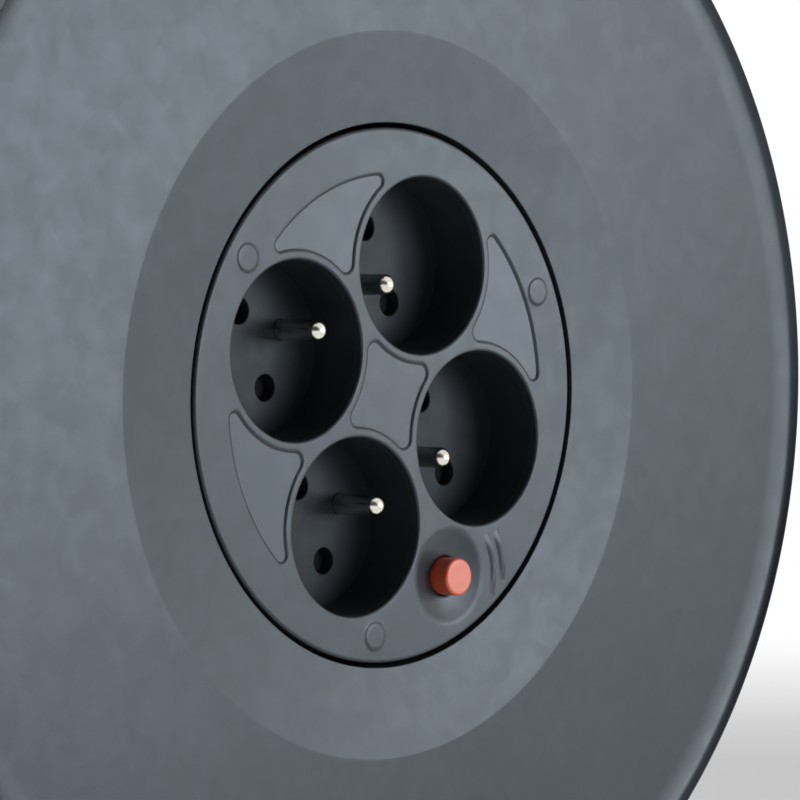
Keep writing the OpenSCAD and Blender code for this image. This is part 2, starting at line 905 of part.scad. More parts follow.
module side_pad() {
    // Recessed pad between the two wells on the +x side
    difference() {
        intersection() {
            circle(r = pad_r, $fn = 180);
            translate([half_pitch, -pad_r])
                square([pad_r, 2 * pad_r]);
        }
        for (s = [-1, 1])
            circle_at([half_pitch, s * half_pitch], pad_cut_r);
        for (s = [0, 1])
            mirror([0, s])
                outer_corner();
        inner_corner(1);
    }
}

module centre_pad() {
    // Four-pointed recess between the wells
    difference() {
        square(socket_pitch, center = true);
        for (s = SOCKETS)
            circle_at(s * half_pitch, pad_cut_r);
        for (k = [0:3])
            rotate(90 * k)
                inner_corner(-1);
    }
}

module ridge(ring_r, start, end) {
    // Low rounded ridge round the button, from one angle to the other
    section_r = (ridge_w * ridge_w / 4 + ridge_h * ridge_h) / (2 * ridge_h);
    rotate([0, 0, start - plate_turn])
        rotate_extrude(angle = end - start, $fn = 180)
            translate([ring_r, face_z + ridge_h - section_r])
                circle(r = section_r);
}

module socket_plate() {
    mouth_z = face_z - mouth_r;
    color("#70777e")
        in_plate()
            difference() {
                union() {
                    rotate_extrude($fn = 180) {
                        translate([0, plate_back_z])
                            square([plate_r, plate_t - edge_r]);
                        translate([0, plate_back_z])
                            square([plate_r - edge_r, plate_t]);
                        translate([plate_r - edge_r, face_z - edge_r])
                            circle(r = edge_r);
                    }
                    for (a = SCREW_ANGLES)
                        rotate([0, 0, a])
                            translate([screw_ring_r, 0, 0]) {
                                disc(lug_r - 0.1, lug_top_z, plate_back_z + merge);
                                disc(mark_r, face_z - merge, face_z + mark_h);
                            }
                    for (x = [-1, 0, 1])
                        translate([x * carrier_screw_x, 0, 0])
                            disc(carrier_boss_r, cup_back_z, plate_back_z + merge);
                    translate([0, button_y, 0]) {
                        disc(collar_r, collar_back_z, plate_back_z + merge);
                        for (row = RIDGES)
                            ridge(row[0], row[1], row[2]);
                    }
                }
                for (s = SOCKETS)
                    translate([s[0] * half_pitch, s[1] * half_pitch, 0]) {
                        disc(well_r, plate_back_z - over, face_z + over);
                        rotate_extrude()
                            translate([well_r - over, mouth_z])
                                difference() {
                                    square([mouth_r + over, mouth_r + over]);
                                    translate([mouth_r + over, 0])
                                        circle(r = mouth_r);
                                }
                    }
                translate([0, 0, face_z - pad_depth])
                    linear_extrude(height = pad_depth + over) {
                        centre_pad();
                        for (k = [0, 1, 2])
                            rotate(90 * k)
                                side_pad();
                    }
                translate([0, button_y, 0]) {
                    translate([0, 0, face_z - bowl_depth + bowl_sphere_r])
                        sphere(r = bowl_sphere_r);
                    disc(button_hole_r, collar_back_z - over, face_z);
                }
                for (a = SCREW_ANGLES)
                    rotate([0, 0, a])
                        translate([screw_ring_r, 0, 0])
                            disc(small_screw_r + seat_fit, lug_top_z - over, plate_back_z);
                for (x = [-1, 0, 1])
                    translate([x * carrier_screw_x, 0, 0])
                        disc(small_screw_r + seat_fit, cup_back_z - over, cup_back_z + 9);
            }
}

module earth_neck(fit) {
    // Taper of the earth pin inside the cup's floor. It runs a touch into the shaft, just below the floor.
    start_z = earth_seat_z - 0.4;
    translate([0, 0, start_z])
        cylinder(r1 = earth_neck_r + fit, r2 = earth_r + fit - 0.03, h = well_floor_z - start_z);
}

module socket_cup(k) {
    toward_pin = -SOCKETS[k][0];
    color("#666d74")
        at_socket(k)
            difference() {
                disc(cup_r, cup_back_z, plate_back_z);
                translate([0, 0, well_floor_z])
                    cylinder(r1 = well_r - well_draft, r2 = well_r, h = plate_back_z - well_floor_z);
                for (y = [-1, 1])
                    translate([0, y * pin_spacing / 2, 0])
                        disc(pin_hole_r, cup_back_z - over, well_floor_z + over);
                translate([toward_pin * earth_offset, 0, 0]) {
                    disc(earth_foot_r + seat_fit, cup_back_z - over, earth_seat_z);
                    earth_neck(seat_fit);
                    disc(earth_r + seat_fit, cup_back_z, well_floor_z + over);
                }
            }
}

module earth_pin(k) {
    tip_z = face_z - earth_sink;
    foot_z = earth_bar_z + earth_bar_t;
    color("#c3c6ca")
        at_socket(k)
            translate([-SOCKETS[k][0] * earth_offset, 0, 0]) {
                disc(earth_r, well_floor_z - over, tip_z - earth_r);
                translate([0, 0, tip_z - earth_r])
                    sphere(r = earth_r);
                earth_neck(0);
                disc(earth_foot_r, foot_z, earth_seat_z - seat_fit);
                disc(small_screw_r, earth_bar_z, foot_z);
            }
}

module socket_cup_a() {
    socket_cup(0);
}

module socket_cup_b() {
    socket_cup(1);
}

module socket_cup_c() {
    socket_cup(2);
}

module socket_cup_d() {
    socket_cup(3);
}

module earth_pin_a() {
    earth_pin(0);
}

module earth_pin_b() {
    earth_pin(1);
}

module earth_pin_c() {
    earth_pin(2);
}

module earth_pin_d() {
    earth_pin(3);
}

// Contacts behind the cups

module mains_bar_outline(grow) {
    // Two strips joined by a link on the -x side: the live bar, and the neutral bar half a turn on
    w = bar_w + 2 * grow;
    x0 = -link_x - bar_w / 2 - grow;
    translate([x0, outer_bar_y - w / 2])
        square([bar_end + grow - x0, w]);
    translate([x0, -inner_bar_y - w / 2])
        square([bar_end + grow - x0, w]);
    translate([x0, -inner_bar_y - w / 2])
        square([w, outer_bar_y + inner_bar_y + w]);
}

module earth_bar_outline(grow) {
    pin_x = half_pitch - earth_offset;
    w = bar_w + 2 * grow;
    end_y = half_pitch + bar_w;
    link_y = 9;
    for (s = [-1, 1])
        translate([s * pin_x - w / 2, -end_y - grow])
            square([w, 2 * (end_y + grow)]);
    translate([-pin_x, link_y - w / 2])
        square([2 * pin_x, w]);
}

module contact_carrier() {
    color("#3a3d41")
        in_plate()
            difference() {
                translate([0, 0, carrier_back_z])
                    rounded_slab(carrier_w, carrier_h, carrier_corner_r, carrier_t);
                translate([0, 0, carrier_back_z - over])
                    linear_extrude(height = channel_depth + over) {
                        mains_bar_outline(bar_gap);
                        rotate(180)
                            mains_bar_outline(bar_gap);
                    }
                translate([0, 0, earth_bar_z - bar_gap])
                    linear_extrude(height = carrier_t)
                        earth_bar_outline(bar_gap);
                for (s = SOCKETS)
                    translate([s[0] * half_pitch, s[1] * half_pitch, 0]) {
                        near = shutter_w + moving_gap;
                        far = near + shutter_travel;
                        translate([s[0] * (far - near) / 2, 0, cup_back_z])
                            cube([near + far, 2 * (shutter_h + moving_gap), 2 * pocket_depth],
                                center = true);
                        for (y = [-1, 1])
                            translate([0, y * pin_spacing / 2, 0])
                                disc(pin_hole_r + bar_gap, carrier_back_z + over, cup_back_z);
                        translate([-s[0] * earth_offset, 0, 0])
                            disc(earth_foot_r + bar_gap, earth_bar_z - bar_gap, cup_back_z + over);
                    }
                for (x = [-1, 0, 1])
                    translate([x * carrier_screw_x, 0, 0])
                        disc(small_screw_r + screw_fit, carrier_back_z - over, cup_back_z + over);
            }
}

module carrier_cover() {
    color("#3a3d41")
        in_plate()
            difference() {
                translate([0, 0, cover_back_z])
                    rounded_slab(carrier_w, carrier_h, carrier_corner_r, cover_t);
                for (x = [-1, 0, 1])
                    translate([x * carrier_screw_x, 0, 0])
                        disc(small_screw_r + screw_fit, cover_back_z - over, carrier_back_z + over);
            }
}

module carrier_screws() {
    color("#b9bdc1")
        in_plate()
            for (x = [-1, 0, 1])
                translate([x * carrier_screw_x, 0, 0])
                    cross_screw(small_screw_r, small_head_r, 2, cover_back_z, cup_back_z + 8);
}

module mains_bar() {
    in_plate()
        difference() {
            translate([0, 0, carrier_back_z])
                linear_extrude(height = bar_t)
                    mains_bar_outline(0);
            for (x = [-1, 1], y = [outer_bar_y, -inner_bar_y])
                translate([x * half_pitch, y, 0])
                    disc(bar_w / 2 - 0.6, carrier_back_z - over, carrier_back_z + bar_t + over);
        }
}

module live_bar() {
    color("#c9a24a")
        mains_bar();
}

module neutral_bar() {
    color("#c9a24a")
        translate([0, 0, axis_z])
            rotate([0, 180, 0])
                translate([0, 0, -axis_z])
                    mains_bar();
}

module earth_bar() {
    pin_x = half_pitch - earth_offset;
    color("#c9a24a")
        in_plate()
            difference() {
                translate([0, 0, earth_bar_z])
                    linear_extrude(height = earth_bar_t)
                        earth_bar_outline(0);
                for (x = [-1, 1], y = [-1, 1])
                    translate([x * pin_x, y * half_pitch, 0])
                        disc(small_screw_r + seat_fit, earth_bar_z - over, cup_back_z);
            }
}

module shutter(k) {
    color("#1b1c1e")
        at_socket(k)
            translate([0, 0, shutter_back_z + shutter_t / 2])
                cube([2 * shutter_w, 2 * shutter_h, shutter_t], center = true);
}

module shutter_a() {
    shutter(0);
}

module shutter_b() {
    shutter(1);
}

module shutter_c() {
    shutter(2);
}

module shutter_d() {
    shutter(3);
}

// Thermal breaker and its reset button

module at_button() {
    in_plate()
        translate([0, button_y, 0])
            children();
}

module breaker_body() {
    color("#1f2124")
        difference() {
            union() {
                at_button()
                    disc(breaker_neck_r, breaker_top_z - over, collar_back_z);
                in_plate()
                    translate([-breaker_w, breaker_out_y, breaker_back_z])
                        cube([2 * breaker_w, breaker_in_y - breaker_out_y, breaker_l]);
            }
            at_button() {
                disc(button_hole_r, chamber_top_z - over, collar_back_z + over);
                disc(chamber_r, chamber_back_z, chamber_top_z);
            }
        }
}

module breaker_blades() {
    blade_w = 6.3;
    blade_t = 0.8;
    blade_l = 9;
    blade_y = (breaker_in_y + breaker_out_y) / 2;
    color("#c9a24a")
        in_plate()
            for (x = [-1, 1])
                translate([x * breaker_w / 2, blade_y, breaker_back_z - blade_l / 2])
                    cube([blade_t, blade_w, blade_l], center = true);
}

module reset_button() {
    top_z = face_z + button_proud;
    soft = 0.7;
    color("#e2562b")
        at_button()
            rotate_extrude() {
                translate([0, button_collar_z])
                    square([button_r, top_z - soft - button_collar_z]);
                translate([0, button_collar_z])
                    square([button_r - soft, top_z - button_collar_z]);
                translate([button_r - soft, top_z - soft])
                    circle(r = soft);
                translate([0, button_collar_z])
                    square([button_collar_r, button_collar_t]);
            }
}

function spring_point(t) = [spring_r * cos(360 * t * spring_turns), spring_r * sin(360 * t * spring_turns),
    spring_back_z + t * (spring_top_z - spring_back_z)];

function spring_ring(t, sides) =
    let (a = 360 * t * spring_turns, p = spring_point(t))
    [for (k = [0:sides - 1])
        p + spring_wire_r * [cos(360 * k / sides) * cos(a), cos(360 * k / sides) * sin(a),
            sin(360 * k / sides)]];

module button_spring() {
    rings = 8 * spring_turns;
    sides = 6;
    points = [for (i = [0:rings]) each spring_ring(i / rings, sides)];
    walls = [for (i = [0:rings - 1], k = [0:sides - 1], h = [0, 1])
        let (a = i * sides + k, b = i * sides + (k + 1) % sides)
        h == 0 ? [a, b, a + sides] : [b, b + sides, a + sides]];
    start = [for (k = [1:sides - 2]) [0, k + 1, k]];
    last = rings * sides;
    end = [for (k = [1:sides - 2]) [last, last + k, last + k + 1]];
    color("#b9bdc1")
        at_button()
            polyhedron(points = points, faces = concat(walls, start, end));
}

module plate_screws() {
    color("#b9bdc1")
        in_plate()
            for (a = SCREW_ANGLES)
                rotate([0, 0, a])
                    translate([screw_ring_r, 0, 0])
                        cross_screw(small_screw_r, small_head_r, 1.8, lug_back_z, plate_back_z - 0.5);
}

// Crank

module at_crank() {
    in_drum()
        rotate([0, 0, knob_angle])
            translate([knob_ring_r, 0, 0])
                children();
}

module crank_pin() {
    color("#b9bdc1")
        at_crank() {
            disc(crank_pin_r, front_web_z - crank_rivet_t, crank_head_z + crank_head_t / 2);
            disc(2 * crank_pin_r, front_face_z, front_face_z + crank_seat_t);
            disc(2 * crank_pin_r, front_web_z - crank_rivet_t, front_web_z);
            difference() {
                disc(crank_head_r, crank_head_z, crank_head_z + crank_head_t);
                cross_recess(crank_head_r, crank_head_z + crank_head_t / 2, crank_head_z + 2 * crank_head_t);
            }
        }
}

module crank_knob() {
    end_r = 3;
    color("#2b2d30")
        at_crank()
            difference() {
                rotate_extrude() {
                    translate([crank_pin_r + running_fit, knob_back_z])
                        square([knob_r - 1 - crank_pin_r - running_fit, knob_l - end_r]);
                    translate([crank_pin_r + running_fit, knob_back_z + 1])
                        square([knob_r - crank_pin_r - running_fit, knob_l - end_r - 1]);
                    translate([crank_pin_r + running_fit, knob_back_z + 1])
                        square([knob_r - end_r - crank_pin_r - running_fit, knob_l - 1]);
                    translate([knob_r - end_r, knob_front_z - end_r])
                        circle(r = end_r);
                }
                disc(crank_head_r + 2 * moving_gap, knob_front_z - knob_recess, knob_front_z + over);
            }
}

stand_tube();
axle_plate();
axle();
axle_nut();
axle_washer();
retaining_ring();
plate_bolts();
plate_nuts();
front_feet();
rear_feet();
grip_front();
grip_rear();
grip_screws();
front_flange();
rear_flange();
drum_screws();
rear_bush();
front_bush();
cord_gland();
gland_nut();
socket_plate();
socket_cup_a();
socket_cup_b();
socket_cup_c();
socket_cup_d();
earth_pin_a();
earth_pin_b();
earth_pin_c();
earth_pin_d();
contact_carrier();
carrier_cover();
carrier_screws();
live_bar();
neutral_bar();
earth_bar();
shutter_a();
shutter_b();
shutter_c();
shutter_d();
breaker_body();
breaker_blades();
reset_button();
button_spring();
plate_screws();
crank_pin();
crank_knob();
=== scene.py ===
# %% [markdown]
# # A cord reel in Blender
# The reel's pieces come from the CAD model at their real size and place. This lesson gives them their
# finishes, rebuilds the pieces that the eye rests on with finer edges, and sets camera, floor and lamps.
# %% Load the frame
import math

import bmesh
import bpy
from mathutils import Matrix, Vector


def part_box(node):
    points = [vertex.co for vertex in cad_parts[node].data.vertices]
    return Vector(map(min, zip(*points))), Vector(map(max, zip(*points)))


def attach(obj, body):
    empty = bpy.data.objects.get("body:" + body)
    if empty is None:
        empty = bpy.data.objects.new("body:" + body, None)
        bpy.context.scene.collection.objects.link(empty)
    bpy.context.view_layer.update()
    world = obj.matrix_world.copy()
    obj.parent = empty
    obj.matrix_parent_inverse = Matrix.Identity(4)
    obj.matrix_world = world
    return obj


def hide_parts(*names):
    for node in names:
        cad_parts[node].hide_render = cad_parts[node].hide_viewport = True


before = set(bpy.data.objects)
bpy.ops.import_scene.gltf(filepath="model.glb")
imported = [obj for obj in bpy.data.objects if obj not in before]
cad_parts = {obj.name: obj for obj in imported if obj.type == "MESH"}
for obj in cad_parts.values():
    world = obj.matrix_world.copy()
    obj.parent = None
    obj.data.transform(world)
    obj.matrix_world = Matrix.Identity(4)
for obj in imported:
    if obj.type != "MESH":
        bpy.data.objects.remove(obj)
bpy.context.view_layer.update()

MM = 0.001
print("nodes in the frame:", len(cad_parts))

# %% [markdown]
# ## The drum's own frame
# Everything on the drum is easiest to write in millimetres in the drum's own frame: x to the right, y up
# and z forward along the axle, as seen from the sockets. One matrix turns that into the reel's frame in
# metres, and a second one adds the turn that the socket plate has at rest. Most heights below start from
# the plate's face.
# %% Named places
AXLE_LOW, AXLE_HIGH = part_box("axle")
AXLE = Vector((0, 0, (AXLE_LOW.z + AXLE_HIGH.z) / 2))
PLATE_TURN = math.radians(24.8)
FACE = 56.0
DRUM = Matrix.Translation(AXLE) @ Matrix.Rotation(math.radians(90), 4, "X") @ Matrix.Scale(MM, 4)
PLATE = DRUM @ Matrix.Rotation(PLATE_TURN, 4, "Z")
print("axle height", round(AXLE.z, 4), "plate centre", [round(v, 4) for v in PLATE @ Vector((0, 0, FACE))])

# %% [markdown]
# ## Camera
# A long lens from about a metre away, turned 46 degrees to the left of the plate's axis and a little
# above it. The lens follows from the picture's width in pixels, and the place from the sight line.
# %% Camera
FRAME_PX = 800
FOCAL_PX = 4151
SENSOR_MM = 36
YAW = math.radians(45.94)
PITCH = math.radians(2.47)
SIGHT = 929.5 * MM
AIM_RIGHT = -2.2 * MM
AIM_UP = 1.0 * MM

camera_data = bpy.data.cameras.new("camera")
camera_data.sensor_width = SENSOR_MM
camera_data.lens = SENSOR_MM * FOCAL_PX / FRAME_PX
camera_data.clip_start = 0.05
camera_data.clip_end = 60
camera = bpy.data.objects.new("camera", camera_data)
bpy.context.scene.collection.objects.link(camera)
forward = Vector((math.sin(YAW) * math.cos(PITCH), math.cos(YAW) * math.cos(PITCH), -math.sin(PITCH)))
right = Vector((math.cos(YAW), -math.sin(YAW), 0))
up = right.cross(forward)
camera.matrix_world = Matrix.Translation(
    DRUM @ Vector((0, 0, FACE)) - forward * SIGHT - right * AIM_RIGHT - up * AIM_UP
) @ Matrix((right, up, -forward)).transposed().to_4x4()
bpy.context.scene.camera = camera
print("lens", round(camera_data.lens, 1), "mm, camera at", [round(v, 3) for v in camera.location])

# %% [markdown]
# ## Colours
# Colours are written as the hex values that a colour picker gives. The renderer works in linear light,
# so one function converts them.
# %% Hex colours to linear light


def linear(hex_colour):
    """An sRGB hex colour as linear red, green, blue and alpha."""
    channels = [int(hex_colour[i:i + 2], 16) / 255 for i in (1, 3, 5)]
    return [c / 12.92 if c <= 0.04045 else ((c + 0.055) / 1.055) ** 2.4 for c in channels] + [1]


print("middle grey in linear light:", [round(c, 3) for c in linear("#808080")])

# %% [markdown]
# ## Nodes
# Every material, and the world, is a small tree of nodes. One function adds a node with its settings and
# links, and a second one tells what is already plugged into an input, so that a later step can build on it.
# Where inputs share a name, their numbers are used: 0, 1 and 2 for the values of a math node, and 0 for the
# factor of a mix node, with 2 and 3 for two numbers, or 6 and 7 for two colours.
# %% Node helpers


def add(tree, kind, links=None, **settings):
    """Add a node. Its inputs, by name or number, take a value, a socket or a node's first output."""
    made = tree.nodes.new(kind)
    for name, value in settings.items():
        setattr(made, name, value)
    for name, value in (links or {}).items():
        if isinstance(value, bpy.types.Node):
            value = value.outputs[0]
        if isinstance(value, bpy.types.NodeSocket):
            tree.links.new(value, made.inputs[name])
        else:
            made.inputs[name].default_value = value
    return made


def plugged_into(socket):
    """The output that feeds an input."""
    return socket.links[0].from_socket


# %% [markdown]
# ## A surface that isn't one flat colour
# No moulded, plated or coated surface is even. Its colour drifts between two near tones over some
# millimetres, its gloss drifts with it, and a fine grain catches the light. Its edges are never quite
# sharp either: a bevel node rounds the light on them. One function builds that, and each material below
# gives it real sizes.
# %% Base of every finish
NOISE_LOW, NOISE_HIGH = 0.3, 0.7  # a noise node gives 0 to 1, but seldom goes past these
TONE_LOW, TONE_HIGH = 0.35, 0.65
GLOSS_DRIFT = 0.03


def surface(name, dark, pale, mottle_mm, rough, grain_mm, grain_depth_mm, edge_mm, **settings):
    """A material whose tone drifts between two colours, with a grain and softly lit edges."""
    material = bpy.data.materials.new(name)
    material.use_nodes = True
    tree = material.node_tree
    tree.nodes.clear()
    where = add(tree, "ShaderNodeTexCoord").outputs["Object"]
    drift = add(tree, "ShaderNodeTexNoise", {"Vector": where, "Scale": 1 / (mottle_mm * MM), "Detail": 4})
    tone = add(tree, "ShaderNodeMapRange", {"Value": drift, "From Min": TONE_LOW, "From Max": TONE_HIGH})
    colour = add(tree, "ShaderNodeMix", {0: tone, 6: linear(dark), 7: linear(pale)}, data_type="RGBA")
    gloss = add(tree, "ShaderNodeMapRange", {
        "Value": drift, "From Min": NOISE_LOW, "From Max": NOISE_HIGH,
        "To Min": rough - GLOSS_DRIFT, "To Max": rough + GLOSS_DRIFT})
    grain = add(tree, "ShaderNodeTexNoise", {"Vector": where, "Scale": 1 / (grain_mm * MM), "Detail": 2})
    edges = add(tree, "ShaderNodeBevel", {"Radius": edge_mm * MM}, samples=4)
    skin = add(tree, "ShaderNodeBump", {"Height": grain, "Distance": grain_depth_mm * MM, "Normal": edges})
    shader = add(tree, "ShaderNodeBsdfPrincipled", {
        "Base Color": colour.outputs[2], "Roughness": gloss, "Normal": skin} | settings)
    add(tree, "ShaderNodeOutputMaterial", {"Surface": shader})
    return material


# %% [markdown]
# ## Moulded polypropylene, slate grey
# The drum and the socket plate are injection moulded from a filled polypropylene. The mould is
# spark-eroded, which leaves a fine satin grain, and the melt leaves faint flow marks, a little paler and
# glossier. To the eye that is a cool grey with a wide soft sheen that never gets sharp: a dark plastic
# whose skin is brighter than its body.
# %% Slate polypropylene
SLATE_DARK, SLATE, SLATE_PALE = "#2C3136", "#33383D", "#434A51"
SHEEN_TINT = "#DBECFC"
SLATE_MOTTLE_MM = 38
SPARK_GRAIN_MM = 0.45  # a spark-eroded grain is about 0.1 mm: drawn coarser, so that it shows
SPARK_DEPTH_MM = 0.012
FLOW_MM, FLOW_BENDING, FLOW_GLOSS = 6, 0.4, 0.025
STREAK_LOW, STREAK_HIGH, STREAK_PALENESS = 0.4, 0.8, 0.4


def slate_plastic(name, rough, specular=0.5, edge_mm=0.25):
    """Satin slate polypropylene with its flow marks."""
    material = surface(
        name, SLATE_DARK, SLATE, mottle_mm=SLATE_MOTTLE_MM, rough=rough, grain_mm=SPARK_GRAIN_MM,
        grain_depth_mm=SPARK_DEPTH_MM, edge_mm=edge_mm, IOR=1.49,
        **{"Specular IOR Level": specular, "Specular Tint": linear(SHEEN_TINT)})
    tree = material.node_tree
    shader = tree.nodes["Principled BSDF"]
    flow = add(tree, "ShaderNodeTexNoise", {
        "Vector": tree.nodes["Texture Coordinate"].outputs["Object"], "Scale": 1 / (FLOW_MM * MM),
        "Detail": 4, "Distortion": FLOW_BENDING})
    streak = add(tree, "ShaderNodeMapRange", {
        "Value": flow, "From Min": STREAK_LOW, "From Max": STREAK_HIGH, "To Max": STREAK_PALENESS})
    colour = add(tree, "ShaderNodeMix", {
        0: streak, 6: plugged_into(shader.inputs["Base Color"]), 7: linear(SLATE_PALE)}, data_type="RGBA")
    gloss = add(tree, "ShaderNodeMapRange", {
        "Value": flow, "From Min": NOISE_LOW, "From Max": NOISE_HIGH,
        "To Min": rough + FLOW_GLOSS, "To Max": rough - FLOW_GLOSS})
    tree.links.new(colour.outputs[2], shader.inputs["Base Color"])
    tree.links.new(gloss.outputs[0], shader.inputs["Roughness"])
    return material


flange_plastic = slate_plastic("slate_polypropylene_flange", rough=0.37)
plate_plastic = slate_plastic("slate_polypropylene_plate", rough=0.37)
# The cups are the same slate with its sheen turned far down: painted shade, so the deep wells stay as dark as
# their shade.
shaded_cup_plastic = slate_plastic("slate_polypropylene_cups_painted_shade", rough=0.35, specular=0.12, edge_mm=0.02)
print("slate is", [round(c, 3) for c in linear(SLATE)[:3]], "in linear light")

# %% [markdown]
# ## Paler pads
# The shallow pads of the socket plate were polished a little further in the mould, so their floors are
# glossier than the plate round them. Their level floors are also painted paler, as painted sheen, the outer
# ones more than the one in the middle, where the real sheen is already brighter. The material finds a floor
# by its depth behind the plate's face and by lying level.
# %% Pads of the plate
PAD_DEPTH = 0.5
DEPTH_PLAY = 0.06
LEVEL = -0.998
# painted sheen: level pad floors turn paler from the first radius out to the second
SHEEN_PAINT_FROM_R, SHEEN_PAINT_TO_R, PAD_PAINTED_SHEEN, PAD_GLOSS = 14, 22, 0.85, 0.03


def place_on_drum(tree):
    """How far a point lies right of the axle, above it and behind the origin, as sockets in metres."""
    parts = add(tree, "ShaderNodeSeparateXYZ", {
        "Vector": tree.nodes["Texture Coordinate"].outputs["Object"]}).outputs
    above = add(tree, "ShaderNodeMath", {0: parts["Z"], 1: AXLE.z}, operation="SUBTRACT")
    return parts["X"], above, parts["Y"]


def polish_pads_and_paint_sheen(material):
    """Make what is as deep as a pad glossier, and paint sheen on it as a paler colour where it lies level
    too.
    """
    tree = material.node_tree
    shader = tree.nodes["Principled BSDF"]
    across, above, behind = place_on_drum(tree)
    deep = add(tree, "ShaderNodeMath", {0: behind, 1: (PAD_DEPTH - FACE) * MM, 2: DEPTH_PLAY * MM},
               operation="COMPARE")
    radius = add(tree, "ShaderNodeVectorMath", {
        0: add(tree, "ShaderNodeCombineXYZ", {"X": across, "Y": above})}, operation="LENGTH")
    outer = add(tree, "ShaderNodeMapRange", {
        "Value": radius.outputs["Value"], "From Min": SHEEN_PAINT_FROM_R * MM, "From Max": SHEEN_PAINT_TO_R * MM,
        "To Max": PAD_PAINTED_SHEEN})
    normal = tree.nodes["Texture Coordinate"].outputs["Normal"]
    facing = add(tree, "ShaderNodeSeparateXYZ", {"Vector": normal}).outputs["Y"]
    level = add(tree, "ShaderNodeMath", {0: facing, 1: LEVEL}, operation="LESS_THAN")
    level_floor = add(tree, "ShaderNodeMath", {0: deep, 1: level}, operation="MULTIPLY")
    # painted sheen: level pad floors are mixed towards the pale slate, the outer pads more
    paler = add(tree, "ShaderNodeMath", {0: level_floor, 1: outer}, operation="MULTIPLY")
    colour = add(tree, "ShaderNodeMix", {
        0: paler, 6: plugged_into(shader.inputs["Base Color"]), 7: linear(SLATE_PALE)}, data_type="RGBA")
    gloss = add(tree, "ShaderNodeMath", {
        0: deep, 1: -PAD_GLOSS, 2: plugged_into(shader.inputs["Roughness"])}, operation="MULTIPLY_ADD")
    tree.links.new(colour.outputs[2], shader.inputs["Base Color"])
    tree.links.new(gloss.outputs[0], shader.inputs["Roughness"])


polish_pads_and_paint_sheen(plate_plastic)
print("pads are", PAD_DEPTH, "mm deep")

# %% [markdown]
# ## Sag and warp
# Large mouldings shrink as they cool. The middle of a face pulls in, like a very shallow bowl, and the
# whole piece twists a little. The eye sees it in the sheen and not in the outline, so it is a height that
# only the light follows, between the rounded edges and the grain. It is drawn deeper than it would measure.
# %% Shallow bowl and twist
CREASE_R = 81.5
TWIST = 0.0002  # in mm of height for each mm across times each mm up
WAVE_MM, WAVE_HEIGHT_MM = 24, 0.05
FLANGE_BOWL_R, PLATE_BOWL_R, PLATE_UPWARDS = 980, 760, 0.4


def let_sag(material, bowl_r, share_upwards=1):
    """Light a face as a twisted bowl of that radius out to the crease, with its share of curve upwards."""
    tree = material.node_tree
    across, above, _ = place_on_drum(tree)
    where = tree.nodes["Texture Coordinate"].outputs["Object"]
    upwards = add(tree, "ShaderNodeMath", {0: above, 1: share_upwards}, operation="MULTIPLY")
    radius = add(tree, "ShaderNodeVectorMath", {
        0: add(tree, "ShaderNodeCombineXYZ", {"X": across, "Y": upwards})}, operation="LENGTH")
    held = add(tree, "ShaderNodeMath", {0: radius.outputs["Value"], 1: CREASE_R * MM}, operation="MINIMUM")
    square = add(tree, "ShaderNodeMath", {0: held, 1: 2}, operation="POWER")
    noise = add(tree, "ShaderNodeTexNoise", {"Vector": where, "Scale": 1 / (WAVE_MM * MM), "Detail": 1})
    wave = add(tree, "ShaderNodeMath", {0: noise, 1: WAVE_HEIGHT_MM}, operation="MULTIPLY")
    area = add(tree, "ShaderNodeMath", {0: across, 1: above}, operation="MULTIPLY")
    warp = add(tree, "ShaderNodeMath", {0: area, 1: TWIST / (MM * MM), 2: wave}, operation="MULTIPLY_ADD")
    height = add(tree, "ShaderNodeMath", {
        0: square, 1: 1 / (2 * bowl_r * MM * MM), 2: warp}, operation="MULTIPLY_ADD")
    skin = plugged_into(tree.nodes["Principled BSDF"].inputs["Normal"]).node
    bowl = add(tree, "ShaderNodeBump", {
        "Height": height, "Distance": MM, "Normal": plugged_into(skin.inputs["Normal"])})
    tree.links.new(bowl.outputs[0], skin.inputs["Normal"])


let_sag(flange_plastic, FLANGE_BOWL_R)
let_sag(plate_plastic, PLATE_BOWL_R, PLATE_UPWARDS)
print("the light sees the flange", round(CREASE_R ** 2 / (2 * FLANGE_BOWL_R), 1), "mm lower in its middle")

# %% [markdown]
# ## Black plastics and rubber
# Grip, knob and gland are black polypropylene with a leather-like grain, the cases inside are polyamide,
# the shutters a darker one, and the feet EPDM rubber, duller and greyer, with dust in it. The two
# bushes are natural nylon, which is a warm white.
# %% Black plastics, rubber and nylon
grip_plastic = surface("black_polypropylene", "#232528", "#2E3134", mottle_mm=14, rough=0.48,
                       grain_mm=0.7, grain_depth_mm=0.04, edge_mm=0.4, IOR=1.49)
case_plastic = surface("black_polyamide", "#141517", "#1D1E21", mottle_mm=14, rough=0.55,
                       grain_mm=0.4, grain_depth_mm=0.02, edge_mm=0.4, IOR=1.53)
foot_rubber = surface("epdm_rubber", "#1D1D1E", "#333230", mottle_mm=14, rough=0.72,
                      grain_mm=0.9, grain_depth_mm=0.05, edge_mm=0.8, IOR=1.52)
shutter_plastic = surface("black_polyamide_shutters", "#141415", "#1B1C1D", mottle_mm=14, rough=0.7,
                          grain_mm=0.4, grain_depth_mm=0.02, edge_mm=0.2, **{"Specular IOR Level": 0.1})
bush_nylon = surface("natural_nylon", "#CBC7B8", "#D8D5CA", mottle_mm=14, rough=0.4,
                     grain_mm=0.5, grain_depth_mm=0.01, edge_mm=0.3, IOR=1.53)
print("black plastics and rubber made")

